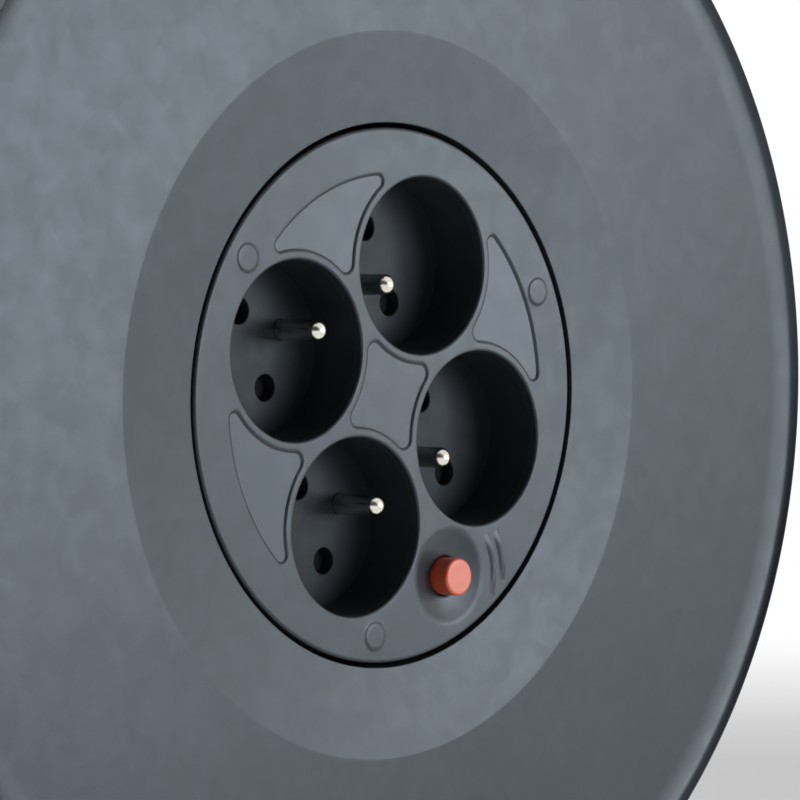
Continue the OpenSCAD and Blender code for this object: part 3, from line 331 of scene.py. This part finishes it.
# %% [markdown]
# ## Steels
# The stand is drawn steel tube with a bright zinc plating: a cool grey metal with a slight mottle and a
# faintly uneven skin. The screws are zinc plated too. The axle plate is pressed steel under a black
# powder coat, which pulls into an orange-peel skin of about a millimetre.
# %% Zinc, spring steel, powder coat
tube_zinc = surface("zinc_plated_tube", "#B5B9BC", "#C4C8CA", mottle_mm=22, rough=0.29,
                    grain_mm=1.5, grain_depth_mm=0.008, edge_mm=0.4, Metallic=1.0)
screw_zinc = surface("zinc_plated_screws", "#AEB1B2", "#CBCDCC", mottle_mm=3, rough=0.27,
                     grain_mm=0.5, grain_depth_mm=0.01, edge_mm=0.2, Metallic=1.0)
spring_steel = surface("oiled_spring_steel", "#54585C", "#6A6E72", mottle_mm=2, rough=0.33,
                       grain_mm=0.4, grain_depth_mm=0.01, edge_mm=0.1, Metallic=1.0)
plate_coat = surface("black_powder_coat", "#242628", "#2C2F31", mottle_mm=20, rough=0.32,
                     grain_mm=1.1, grain_depth_mm=0.03, edge_mm=0.5, IOR=1.5)
print("steels made")

# %% [markdown]
# ## Nickel and brass
# The earth pins are turned brass with a polished nickel plating, a warm white mirror that is a touch
# uneven. The bars behind the sockets are stamped brass.
# %% Nickel, brass
pin_nickel = surface("nickel_plate", "#CFCBBF", "#E4E1D6", mottle_mm=4, rough=0.2,
                     grain_mm=0.5, grain_depth_mm=0.003, edge_mm=0.1, Metallic=1.0)
bar_brass = surface("stamped_brass", "#B98F42", "#D9B15C", mottle_mm=4, rough=0.28,
                    grain_mm=0.5, grain_depth_mm=0.003, edge_mm=0.1, Metallic=1.0)
print("nickel and brass made")

# %% [markdown]
# ## Orange-red ABS
# The reset button is a small ABS moulding. A little light goes into the plastic, so it keeps its colour
# in its own shade and looks warm at the rim. Its face is a touch chalky.
# %% Button ABS
button_plastic = surface(
    "orange_abs", "#EA5A2E", "#F2663A", mottle_mm=3, rough=0.37, grain_mm=0.35, grain_depth_mm=0.008,
    edge_mm=0.25, IOR=1.53,
    **{"Specular IOR Level": 0.85, "Subsurface Weight": 0.12, "Subsurface Scale": 0.8 * MM})
print("button material made")

# %% [markdown]
# ## Finishes on the CAD pieces
# A CAD piece keeps its shape. It gets smooth shading on its round faces and crisp edges where two faces
# meet at an angle, by a small geometry modifier that leaves its points where they are.
# %% Smooth round faces
SMOOTH_BELOW = math.radians(32)
DOUBLED_MM = 0.002


def smooth_round_faces():
    """A node group that joins doubled points and smooths every edge flatter than the limit."""
    group = bpy.data.node_groups.new("smooth_round_faces", "GeometryNodeTree")
    group.interface.new_socket("Geometry", in_out="INPUT", socket_type="NodeSocketGeometry")
    group.interface.new_socket("Geometry", in_out="OUTPUT", socket_type="NodeSocketGeometry")
    start = add(group, "NodeGroupInput")
    merged = add(group, "GeometryNodeMergeByDistance", {"Geometry": start, "Distance": DOUBLED_MM * MM})
    faces = add(group, "GeometryNodeSetShadeSmooth", {"Geometry": merged, "Shade Smooth": True})
    angle = add(group, "GeometryNodeInputMeshEdgeAngle")
    sharp = add(group, "FunctionNodeCompare", {"A": angle, "B": SMOOTH_BELOW}, operation="GREATER_THAN")
    edges = add(group, "GeometryNodeSetShadeSmooth", {
        "Geometry": faces, "Selection": sharp, "Shade Smooth": False}, domain="EDGE")
    add(group, "NodeGroupOutput", {"Geometry": edges})
    return group


SMOOTHING = smooth_round_faces()
print("smoothing has", len(SMOOTHING.nodes), "nodes")

# %% [markdown]
# ## Which piece is made of what
# One table gives every node of the CAD model its material. The flange, the plate and the cups are in it
# too: they are shown by finer pieces later, in the same material.
# %% Dress the CAD pieces


def dress(piece, material):
    """Give a piece its material and its smooth round faces."""
    piece.data.materials.clear()
    piece.data.materials.append(material)
    piece.modifiers.new("smooth", "NODES").node_group = SMOOTHING
    weigh = piece.modifiers.new("flat faces stay flat", "WEIGHTED_NORMAL")
    weigh.keep_sharp = True


CUPS = ["socket_cup_a", "socket_cup_b", "socket_cup_c", "socket_cup_d"]
FINISHES = {
    flange_plastic: ["front_flange", "rear_flange"],
    plate_plastic: ["socket_plate"],
    shaded_cup_plastic: CUPS,
    grip_plastic: ["grip_front", "grip_rear", "crank_knob", "cord_gland", "gland_nut"],
    case_plastic: ["contact_carrier", "carrier_cover", "breaker_body"],
    foot_rubber: ["front_feet", "rear_feet"],
    shutter_plastic: ["shutter_a", "shutter_b", "shutter_c", "shutter_d"],
    bush_nylon: ["rear_bush", "front_bush"],
    tube_zinc: ["stand_tube"],
    screw_zinc: ["axle", "axle_nut", "axle_washer", "plate_bolts", "plate_nuts", "grip_screws",
                 "drum_screws", "carrier_screws", "plate_screws", "crank_pin"],
    spring_steel: ["retaining_ring", "button_spring"],
    plate_coat: ["axle_plate"],
    pin_nickel: ["earth_pin_a", "earth_pin_b", "earth_pin_c", "earth_pin_d"],
    bar_brass: ["live_bar", "neutral_bar", "earth_bar", "breaker_blades"],
    button_plastic: ["reset_button"],
}
for finish, node_names in FINISHES.items():
    for node_name in node_names:
        dress(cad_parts[node_name], finish)
print("dressed", sum(len(names) for names in FINISHES.values()), "CAD pieces")

# %% [markdown]
# ## Building by loops
# The face of the reel is made of round things: a flange, a plate, wells, a bowl, pads with rounded
# corners. Each is a stack of closed loops with faces between them. What stays flat between such features
# is filled at the end, height by height, so every well and pad is a real opening in one skin.
# %% Loops, arcs and turned forms
ROUND = 200  # points on a circle that isn't given its own number


def circle(radius, height, centre=(0, 0), steps=ROUND):
    """A closed loop of points."""
    turns = [2 * math.pi * i / steps for i in range(steps)]
    return [(centre[0] + radius * math.cos(t), centre[1] + radius * math.sin(t), height) for t in turns]


def arc(centre, radius, start, end, steps=8):
    """Points on an arc, from one angle in degrees to another, both ends included."""
    turns = [math.radians(start + (end - start) * i / steps) for i in range(steps + 1)]
    return [(centre[0] + radius * math.cos(t), centre[1] + radius * math.sin(t)) for t in turns]


def skin_loops(form, loops):
    """Join closed loops of equal length, each to the next one."""
    rows = [[form.verts.new(point) for point in loop] for loop in loops]
    for first, second in zip(rows, rows[1:]):
        for i in range(len(first)):
            form.faces.new((first[i - 1], first[i], second[i], second[i - 1]))


def revolve(form, profile, centre=(0, 0), steps=ROUND):
    """Turn a profile of (radius, height) points about an axis along z."""
    skin_loops(form, [circle(radius, height, centre, steps) for radius, height in profile])


print("a circle has", len(circle(1, 0)), "points")

# %% [markdown]
# ## Closing a form and making it a piece
# The flat faces are filled from their open edges. A closed form has no open edges, which the last line
# counts.
# %% Fill and piece
LEVEL_PLAY, JOIN_BELOW = 1e-4, 1e-3  # in mm


def fill_flat(form, heights):
    """Close what is still open at each height, round the holes in it."""
    for height in heights:
        edges = [edge for edge in form.edges
                 if edge.is_boundary and all(abs(v.co.z - height) < LEVEL_PLAY for v in edge.verts)]
        bmesh.ops.triangle_fill(form, use_beauty=True, use_dissolve=False, edges=edges)


def make_piece(name, form, placed, material, node_name):
    """Turn the form into a piece on the drum that stands for a CAD node."""
    bmesh.ops.remove_doubles(form, verts=form.verts, dist=JOIN_BELOW)
    bmesh.ops.recalc_face_normals(form, faces=form.faces)
    form.transform(placed)
    mesh = bpy.data.meshes.new(name)
    form.to_mesh(mesh)
    form.free()
    piece = bpy.data.objects.new(name, mesh)
    bpy.context.scene.collection.objects.link(piece)
    dress(piece, material)
    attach(piece, "drum")
    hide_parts(node_name)
    open_edges = 2 * len(mesh.edges) - sum(len(face.vertices) for face in mesh.polygons)
    print(name, "has", len(mesh.polygons), "faces, open edges:", open_edges)


# %% [markdown]
# ## Front flange
# The flange is one turned section: the neck that the plate sits in, a shallow cone up to a soft crease, a
# flat web, a gentle rise and a lip that leans inwards with a hollow flank. It is a form of revolution, so
# one profile makes it, from the rim inwards.
# %% Rim of the flange
FLANGE_R = 142.1
WEB_BACK, WEB_FACE = 54.0, 57.0
LIP_W, LIP_H, LIP_EDGE, BACK_EDGE = 1.2, 2.2, 0.12, 0.3
RAMP_W, RAMP_H = 7.0, 0.8
RIM_STEPS = 480
LIP_FLANK = [(2.4, 0.57), (1.9, 0.7), (1.5, 0.87), (1.15, 1.09), (0.85, 1.36), (0.6, 1.66), (0.42, 1.93),
             (0.28, 2.12), (LIP_EDGE, 2.17)]  # in from the rim, up from the web

ramp_start = FLANGE_R - LIP_W - RAMP_W
bend_r = (RAMP_W ** 2 + RAMP_H ** 2) / (2 * RAMP_H)
# one point for each millimetre, up to the lip's flank
rise = [(ramp_start + i, WEB_FACE + bend_r - math.sqrt(bend_r ** 2 - i ** 2)) for i in range(int(RAMP_W) - 1)]
flank = [(FLANGE_R - inwards, WEB_FACE + above) for inwards, above in LIP_FLANK]
edge = [(FLANGE_R, WEB_FACE + LIP_H - LIP_EDGE), (FLANGE_R, WEB_BACK + BACK_EDGE),
        (FLANGE_R - BACK_EDGE, WEB_BACK)]
flange = bmesh.new()
revolve(flange, rise + flank + edge, steps=RIM_STEPS)
print("rim has", len(flange.verts), "points, its rise bends with a radius of", round(bend_r, 1), "mm")

# %% [markdown]
# ## Dish and neck of the flange
# Inside the crease the flange dips towards the plate, so the plate lies in a shallow dish. Only the flat
# web and the back are left to the fill, because the crank pin's hole goes through them.
# %% Dish, neck and core
OPENING_R, NECK_WALL, NECK_BACK = 61.0, 2.5, 44.0
CORE_R, CORE_WALL = 80.0, 3.0
SOFT_CREASE = [(0.9, 0), (0.3, -0.004), (-0.3, -0.02), (-0.9, -0.045)]
OPENING_EDGE = [(0.3, 0.015), (0.09, -0.06), (0, -0.3)]
DISH_BACK_AT_NECK, DISH_BACK_AT_CORE = WEB_BACK - 1, WEB_BACK - 0.2
CRANK_RING_R, CRANK_ANGLE, CRANK_HOLE_R = 115.0, math.radians(100), 4.05
CRANK_HOLE_STEPS = 48

dish = [(CREASE_R + outwards, WEB_FACE + above) for outwards, above in SOFT_CREASE]
dish += [(OPENING_R + outwards, FACE + above) for outwards, above in OPENING_EDGE]
neck_r, bore_r = OPENING_R + NECK_WALL, CORE_R - CORE_WALL
neck = [(OPENING_R, NECK_BACK), (neck_r, NECK_BACK), (neck_r, DISH_BACK_AT_NECK),
        (bore_r, DISH_BACK_AT_CORE), (bore_r, 0), (CORE_R, 0), (CORE_R, WEB_BACK)]
revolve(flange, dish + neck, steps=RIM_STEPS)
crank = (CRANK_RING_R * math.cos(CRANK_ANGLE), CRANK_RING_R * math.sin(CRANK_ANGLE))
revolve(flange, [(CRANK_HOLE_R, WEB_FACE), (CRANK_HOLE_R, WEB_BACK)], crank, CRANK_HOLE_STEPS)
fill_flat(flange, [WEB_FACE, WEB_BACK])
make_piece("front_flange_moulding", flange, DRUM, flange_plastic, "front_flange")

# %% [markdown]
# ## Outlines of the pads
# The shallow pads between the wells are bounded by arcs only. Moving an arc's radius gives a parallel
# outline, larger or smaller, so the soft step down into a pad is a stack of parallel outlines of one list
# of arcs.
# %% Arcs between points


def turned(point, quarters):
    """A point turned by quarter turns."""
    x, y = point
    for _ in range(quarters % 4):
        x, y = -y, x
    return x, y


def heading(start, end):
    """The angle from one point to another, in degrees."""
    return math.degrees(math.atan2(end[1] - start[1], end[0] - start[0]))


def arc_between(centre, radius, first, last, side, steps):
    """An arc from the direction of one point to that of another: side 1 turns left, -1 right."""
    start = heading(centre, first)
    sweep = (heading(centre, last) - start) * side % 360 * side
    return centre, radius, start, sweep, side, steps


def outline(arcs, offset, height):
    """The closed loop of the arcs, moved outwards by the offset."""
    loop = []
    for centre, radius, start, sweep, side, steps in arcs:
        points = arc(centre, radius + side * offset, start, start + sweep, steps)
        loop += [(x, y, height) for x, y in points[:-1]]
    return loop


def turned_arcs(arcs, quarters):
    """The same arcs, turned by quarter turns."""
    return [(turned(centre, quarters), radius, start + 90 * quarters, sweep, side, steps)
            for centre, radius, start, sweep, side, steps in arcs]


print("from right to up is", heading((0, 0), (0, 1)) - heading((0, 0), (1, 0)), "degrees")

# %% [markdown]
# ## The four pads
# The four wells stand on a square. Each outer pad lies between two wells and the plate's edge, with a
# small round at its two outer corners and a larger one at its inner end. The pad in the middle is a star
# with four hollow sides. The rounds touch the long arcs, which gives their centres.
# %% Outlines of the pads
HALF_PITCH = 43.66 / 2
SOCKETS = [(-1, 1), (1, 1), (1, -1), (-1, -1)]
PAD_R, PAD_CUT_R = 49.5, 22.2  # of the long arcs, round the axle and round a well
PAD_CORNER_R, PAD_INNER_R = 1.5, 2.2
LONG_STEPS, CORNER_STEPS, WELL_STEPS, INNER_STEPS, STAR_STEPS = 48, 14, 30, 16, 20

reach = math.sqrt((PAD_CUT_R + PAD_INNER_R) ** 2 - HALF_PITCH ** 2)
from_axle, from_well = PAD_R - PAD_CORNER_R, PAD_CUT_R + PAD_CORNER_R
to_well = HALF_PITCH * math.sqrt(2)
along = (from_axle ** 2 - from_well ** 2 + to_well ** 2) / (2 * to_well)
beside = math.sqrt(from_axle ** 2 - along ** 2)
corner = ((along + beside) / math.sqrt(2), (along - beside) / math.sqrt(2))
low_corner = (corner[0], -corner[1])
beyond, low_beyond = [(2 * x, 2 * y) for x, y in (corner, low_corner)]  # further out, the same way
well_up, well_down = (HALF_PITCH, HALF_PITCH), (HALF_PITCH, -HALF_PITCH)
inner, star_tip = (HALF_PITCH + reach, 0), (HALF_PITCH - reach, 0)
side_arcs = [
    arc_between((0, 0), PAD_R, low_corner, corner, 1, LONG_STEPS),
    arc_between(corner, PAD_CORNER_R, beyond, well_up, 1, CORNER_STEPS),
    arc_between(well_up, PAD_CUT_R, corner, inner, -1, WELL_STEPS),
    arc_between(inner, PAD_INNER_R, well_up, well_down, 1, INNER_STEPS),
    arc_between(well_down, PAD_CUT_R, inner, low_corner, -1, WELL_STEPS),
    arc_between(low_corner, PAD_CORNER_R, well_down, low_beyond, 1, CORNER_STEPS),
]
star_arcs = [
    arc_between(star_tip, PAD_INNER_R, well_down, well_up, 1, INNER_STEPS),
    arc_between(well_up, PAD_CUT_R, star_tip, turned(star_tip, 1), -1, STAR_STEPS),
]
PADS = [turned_arcs(side_arcs, quarters) for quarters in (0, 1, 2)]
PADS.append([row for quarters in range(4) for row in turned_arcs(star_arcs, quarters)])
print("pads:", len(PADS), "with", [sum(row[5] for row in pad) for pad in PADS], "points")

# %% [markdown]
# ## Socket plate: rim, wells and pads
# The plate is one skin, begun here with its rounded rim, the four wells with their rounded mouths and the
# soft steps down into the pads. The later cells add to it, and the last one closes it.
# %% Plate, wells and pads
PLATE_R, EDGE_R, PLATE_BACK = 60.0, 0.8, FACE - 2.5
PLATE_STEPS = 360
WELL_R, MOUTH_R = 20.0, 0.6
PAD_STEP = [(0.7, 0), (0.5, -0.03), (0.3, -0.1), (0.12, -0.22), (0, -0.34), (-0.1, -0.45),
            (-0.18, -PAD_DEPTH)]  # out from the pad's outline, up from the plate's face

plate = bmesh.new()
rim = [(PLATE_R - EDGE_R + r, FACE - EDGE_R + z) for r, z in arc((0, 0), EDGE_R, 90, 0)]
revolve(plate, rim + [(PLATE_R, PLATE_BACK)], steps=PLATE_STEPS)
mouth = [(WELL_R + MOUTH_R + r, FACE - MOUTH_R + z) for r, z in arc((0, 0), MOUTH_R, 90, 180)]
for across, above in SOCKETS:
    revolve(plate, mouth + [(WELL_R, PLATE_BACK)], (across * HALF_PITCH, above * HALF_PITCH))
for pad in PADS:
    skin_loops(plate, [outline(pad, outwards, FACE + above) for outwards, above in PAD_STEP])
print("rim, wells and pads have", len(plate.verts), "points")

# %% [markdown]
# ## Bowl of the reset button
# A fingertip needs room round the button, so it stands in a spherical bowl. The bowl runs into the face
# with a short soft curve, and its hole goes down through a collar behind the plate.
# %% Bowl, hole and collar
BUTTON = (0, -46.0)
BOWL_R, BOWL_DEPTH = 10.6, 1.9
BOWL_RINGS, BOWL_STEPS = 24, 144
SOFT_OUT, SOFT_IN, SOFTNESS = 0.8, 0.3, 0.2
BUTTON_HOLE_R, HOLE_EDGE = 4.6, 0.25
COLLAR_R, COLLAR_BACK = 9.0, FACE - 5.4

sphere_r = (BOWL_R ** 2 + BOWL_DEPTH ** 2) / (2 * BOWL_DEPTH)
bowl = [(BOWL_R + SOFT_OUT, FACE)]
for i in range(1, BOWL_RINGS + 1):
    radius = BOWL_R + SOFT_OUT - (BOWL_R + SOFT_OUT - SOFT_IN - BUTTON_HOLE_R) * i / BOWL_RINGS
    # the sphere over the face, and then whichever of the two is lower
    above = sphere_r - BOWL_DEPTH - math.sqrt(sphere_r ** 2 - radius ** 2)
    bowl.append((radius, FACE + (above - math.hypot(above, SOFTNESS)) / 2))
hole_top = bowl[-1][1] - HOLE_EDGE
collar = [(BUTTON_HOLE_R, hole_top), (BUTTON_HOLE_R, COLLAR_BACK), (COLLAR_R, COLLAR_BACK),
          (COLLAR_R, PLATE_BACK)]
revolve(plate, bowl + collar, BUTTON, BOWL_STEPS)
print("bowl is part of a sphere with a radius of", round(sphere_r, 1), "mm")

# %% [markdown]
# ## Marks and screw posts
# Three screws hold the plate from behind. Each goes into a short post, and a low round mark on the face
# shows where it sits. Three longer posts take the screws of the contact carrier.
# %% Marks and posts
SCREW_R = 1.55
MARK_RING_R, MARK_ANGLES, MARK_H = 54, (0, 120, 240), 0.28
MARK_PROFILE = [(3.5, 0), (3.3, 0.03), (3.05, 0.17), (2.8, 0.25), (2.4, MARK_H)]
POST_R, POST_BACK, POST_BOTTOM = 3.6, FACE - 8.5, PLATE_BACK - 0.5
CARRIER_POST_R, CARRIER_POSTS, CUP_BACK = 4.0, (-45.5, 0, 45.5), FACE - 17.0
CARRIER_POST_BOTTOM = CUP_BACK + 9
MARK_STEPS, POST_STEPS = 72, 48

for angle in MARK_ANGLES:
    turn = math.radians(angle)
    spot = (MARK_RING_R * math.cos(turn), MARK_RING_R * math.sin(turn))
    revolve(plate, [(radius, FACE + above) for radius, above in MARK_PROFILE], spot, MARK_STEPS)
    revolve(plate, [(POST_R, PLATE_BACK), (POST_R, POST_BACK), (SCREW_R, POST_BACK), (SCREW_R, POST_BOTTOM)],
            spot, POST_STEPS)
for across in CARRIER_POSTS:
    revolve(plate, [(CARRIER_POST_R, PLATE_BACK), (CARRIER_POST_R, CUP_BACK), (SCREW_R, CUP_BACK),
                    (SCREW_R, CARRIER_POST_BOTTOM)], (across, 0), POST_STEPS)
print("plate has", len(MARK_ANGLES) + len(CARRIER_POSTS), "screw posts")

# %% [markdown]
# ## Two soft arcs
# Beside the bowl lie two low arcs. Each rises outwards like a terrace, drops at its outer side and fades
# at its ends, so it is a grid of its own: along the arc, and across it.
# %% Arcs beside the bowl
ARCS = [(13.55, -21, 38), (16.6, -7, 33)]  # inner radius from the button, first and last degree
TERRACE = [(0, 0), (0.2, 0.03), (0.45, 0.12), (0.75, 0.25), (0.95, 0.31), (1.25, 0.36), (1.6, 0.4),
           (1.9, 0.43), (2.0, 0.42), (2.06, 0.36), (2.12, 0.15), (2.16, 0)]  # outwards, up
ARC_STEPS, FADE = 60, 1.1

for inner_r, start, end in ARCS:
    grid = []
    for i in range(ARC_STEPS + 1):
        turn = math.radians(start + (end - start) * i / ARC_STEPS) - PLATE_TURN
        near = min(1, math.sin(math.pi * i / ARC_STEPS) * FADE) if 0 < i < ARC_STEPS else 0
        fade = near * near * (3 - 2 * near)  # a smooth step from 0 to 1
        grid.append([plate.verts.new((BUTTON[0] + (inner_r + outwards) * math.cos(turn),
                                      BUTTON[1] + (inner_r + outwards) * math.sin(turn), FACE + fade * above))
                     for outwards, above in TERRACE])
    for row, following in zip(grid, grid[1:]):
        for j in range(len(TERRACE) - 1):
            plate.faces.new((row[j], following[j], following[j + 1], row[j + 1]))
print("arcs have", len(ARCS) * ARC_STEPS * (len(TERRACE) - 1), "faces")

# %% [markdown]
# ## Closing the plate
# All that is still open lies flat at six heights: the face, the back, the pads, the marks and the bottoms
# of the two kinds of screw hole.
# %% Close the plate
fill_flat(plate, [FACE, PLATE_BACK, FACE - PAD_DEPTH, FACE + MARK_H, POST_BOTTOM, CARRIER_POST_BOTTOM])
make_piece("socket_plate_moulding", plate, PLATE, plate_plastic, "socket_plate")

# %% [markdown]
# ## Socket cups
# Each well goes on behind the plate as a cup: a wall with a little draft and a floor with two pin holes.
# The earth pin sits in a hole that widens downwards, as the pin does, and ends in a seat for its foot.
# %% Socket cups
WELL_FLOOR, DRAFT, CUP_WALL = FACE - 14.5, 0.4, 1.5
PIN_FROM_CENTRE, EARTH_FROM_CENTRE = 9.5, 10
SEAT_TOP = CUP_BACK + 1.2
EARTH_HOLE = [(2.5, WELL_FLOOR), (2.5, WELL_FLOOR - 0.1), (2.86, SEAT_TOP), (3.45, SEAT_TOP),
              (3.45, CUP_BACK)]
PIN_HOLE = [(3.2, WELL_FLOOR), (3.0, WELL_FLOOR - 0.2), (3.0, CUP_BACK)]
HOLE_STEPS = 64

for cup_name, (across, above) in zip(CUPS, SOCKETS):
    cup = bmesh.new()
    centre = (across * HALF_PITCH, above * HALF_PITCH)
    revolve(cup, [(WELL_R, PLATE_BACK), (WELL_R - DRAFT, WELL_FLOOR)], centre)
    cup_r = WELL_R + CUP_WALL
    revolve(cup, [(WELL_R, PLATE_BACK), (cup_r, PLATE_BACK), (cup_r, CUP_BACK)], centre)
    for up in (PIN_FROM_CENTRE, -PIN_FROM_CENTRE):
        revolve(cup, PIN_HOLE, (centre[0], centre[1] + up), HOLE_STEPS)
    revolve(cup, EARTH_HOLE, (centre[0] - across * EARTH_FROM_CENTRE, centre[1]), HOLE_STEPS)
    fill_flat(cup, [WELL_FLOOR, CUP_BACK])
    make_piece(cup_name + "_moulding", cup, PLATE, shaded_cup_plastic, cup_name)

# %% [markdown]
# ## Floor
# A pale floor keeps the reel's shadow near it and goes to plain white further out, so it has no edge.
# Metal and gloss see it all white, as they would see a studio's white table.
# %% Floor
FLOOR_R, FLOOR_STEPS = 30.0, 96
WHITE_FROM, WHITE_BEYOND = 0.55, 1.1

floor_form = bmesh.new()
bmesh.ops.create_circle(floor_form, cap_ends=True, radius=FLOOR_R, segments=FLOOR_STEPS)
floor_mesh = bpy.data.meshes.new("floor")
floor_form.to_mesh(floor_mesh)
floor_form.free()
floor = bpy.data.objects.new("floor", floor_mesh)
bpy.context.scene.collection.objects.link(floor)
floor_material = bpy.data.materials.new("pale_floor")
floor_material.use_nodes = True
ground = floor_material.node_tree
ground.nodes.clear()
away = add(ground, "ShaderNodeVectorMath", {
    0: add(ground, "ShaderNodeTexCoord").outputs["Object"]}, operation="LENGTH").outputs["Value"]
far = add(ground, "ShaderNodeMapRange", {"Value": away, "From Min": WHITE_FROM, "From Max": WHITE_BEYOND},
          interpolation_type="SMOOTHSTEP")
rays = add(ground, "ShaderNodeLightPath").outputs
reflected = add(ground, "ShaderNodeMath", {
    0: rays["Is Glossy Ray"], 1: rays["Is Transmission Ray"]}, operation="MAXIMUM")
white_seen = add(ground, "ShaderNodeMath", {0: far, 1: rays["Is Camera Ray"]}, operation="MULTIPLY")
white_far = add(ground, "ShaderNodeMath", {0: white_seen, 1: reflected}, operation="MAXIMUM")
matt = add(ground, "ShaderNodeBsdfDiffuse", {"Color": linear("#EDEDED")})
white = add(ground, "ShaderNodeEmission", {"Color": linear("#FFFFFF"), "Strength": 1.0})
blend = add(ground, "ShaderNodeMixShader", {0: white_far, 1: matt, 2: white})
add(ground, "ShaderNodeOutputMaterial", {"Surface": blend})
floor_mesh.materials.append(floor_material)
print("floor radius", FLOOR_R, "m, white from", WHITE_BEYOND, "m on")

# %% [markdown]
# ## Background
# The world is plain white to the camera and in reflections, apart from a soft dark side where the person
# with the camera stands, which gives metal its dark streaks. As a light it is weak, and weaker in front
# than behind, so that the lamps shape the reel.
# %% World
FRONT_FILL, BACK_FILL = 0.07, 0.45
FRONT_ENDS, BACK_STARTS = -0.15, 0.45
MIRRORED = 1.0
DARK_SIDE = (-0.80, -0.60, 0.0)
DARK_FROM, DARK_TO = 0.45, 0.80  # cosines of about 63 and 37 degrees from the middle of the dark side

world = bpy.data.worlds.new("studio")
bpy.context.scene.world = world
world.use_nodes = True
sky = world.node_tree
sky.nodes.clear()
rays = add(sky, "ShaderNodeLightPath").outputs
looking = add(sky, "ShaderNodeTexCoord").outputs["Generated"]
parts = add(sky, "ShaderNodeSeparateXYZ", {"Vector": looking}).outputs
fill = add(sky, "ShaderNodeMapRange", {
    "Value": parts["Y"], "From Min": FRONT_ENDS, "From Max": BACK_STARTS,
    "To Min": FRONT_FILL, "To Max": BACK_FILL}, interpolation_type="SMOOTHSTEP")
toward_dark = add(sky, "ShaderNodeVectorMath", {0: looking, 1: DARK_SIDE}, operation="DOT_PRODUCT")
mirrored = add(sky, "ShaderNodeMapRange", {
    "Value": toward_dark.outputs["Value"], "From Min": DARK_FROM, "From Max": DARK_TO,
    "To Min": MIRRORED, "To Max": FRONT_FILL}, interpolation_type="SMOOTHSTEP")
reflected = add(sky, "ShaderNodeMath", {
    0: rays["Is Glossy Ray"], 1: rays["Is Transmission Ray"]}, operation="MAXIMUM")
level = add(sky, "ShaderNodeMix", {0: reflected, 2: fill, 3: mirrored}, data_type="FLOAT")
strength = add(sky, "ShaderNodeMath", {0: rays["Is Camera Ray"], 1: level}, operation="MAXIMUM")
backdrop = add(sky, "ShaderNodeBackground", {"Color": linear("#FFFFFF"), "Strength": strength})
add(sky, "ShaderNodeOutputWorld", {"Surface": backdrop})
print("world lights the reel with", FRONT_FILL, "in front and", BACK_FILL, "behind")

# %% [markdown]
# ## Lamps
# Three softboxes stand round the reel. The key stands in front and to the right, near where the flange
# mirrors the camera's sight line, so its sheen shows the shallow forms. The others lift the top and back.
# The picture is shown as it is lit, without a film curve.
# %% Lamps
KEY_ANGLE, KEY_DROP = math.radians(32), 0.05


def softbox(name, direction, distance, width, height, watts):
    """A rectangular lamp in that direction from the axle, facing it."""
    data = bpy.data.lights.new(name, "AREA")
    data.shape = "RECTANGLE"
    data.size = width
    data.size_y = height
    data.energy = watts
    lamp = bpy.data.objects.new(name, data)
    bpy.context.scene.collection.objects.link(lamp)
    outwards = Vector(direction).normalized()
    lamp.matrix_world = (Matrix.Translation(AXLE + outwards * distance)
                         @ outwards.to_track_quat("Z", "Y").to_matrix().to_4x4())
    print("lamp", name, watts, "W at", [round(v, 2) for v in lamp.location])


key_way = (math.sin(KEY_ANGLE), -math.cos(KEY_ANGLE), -KEY_DROP)
softbox("key", key_way, distance=1.8, width=1.0, height=1.2, watts=30)
softbox("top", (0.25, 0.5, 1.0), distance=1.6, width=1.2, height=1.2, watts=8)
softbox("back", (-0.5, 1.0, 0.35), distance=1.8, width=1.4, height=1.4, watts=16)
bpy.context.scene.view_settings.view_transform = "Standard"
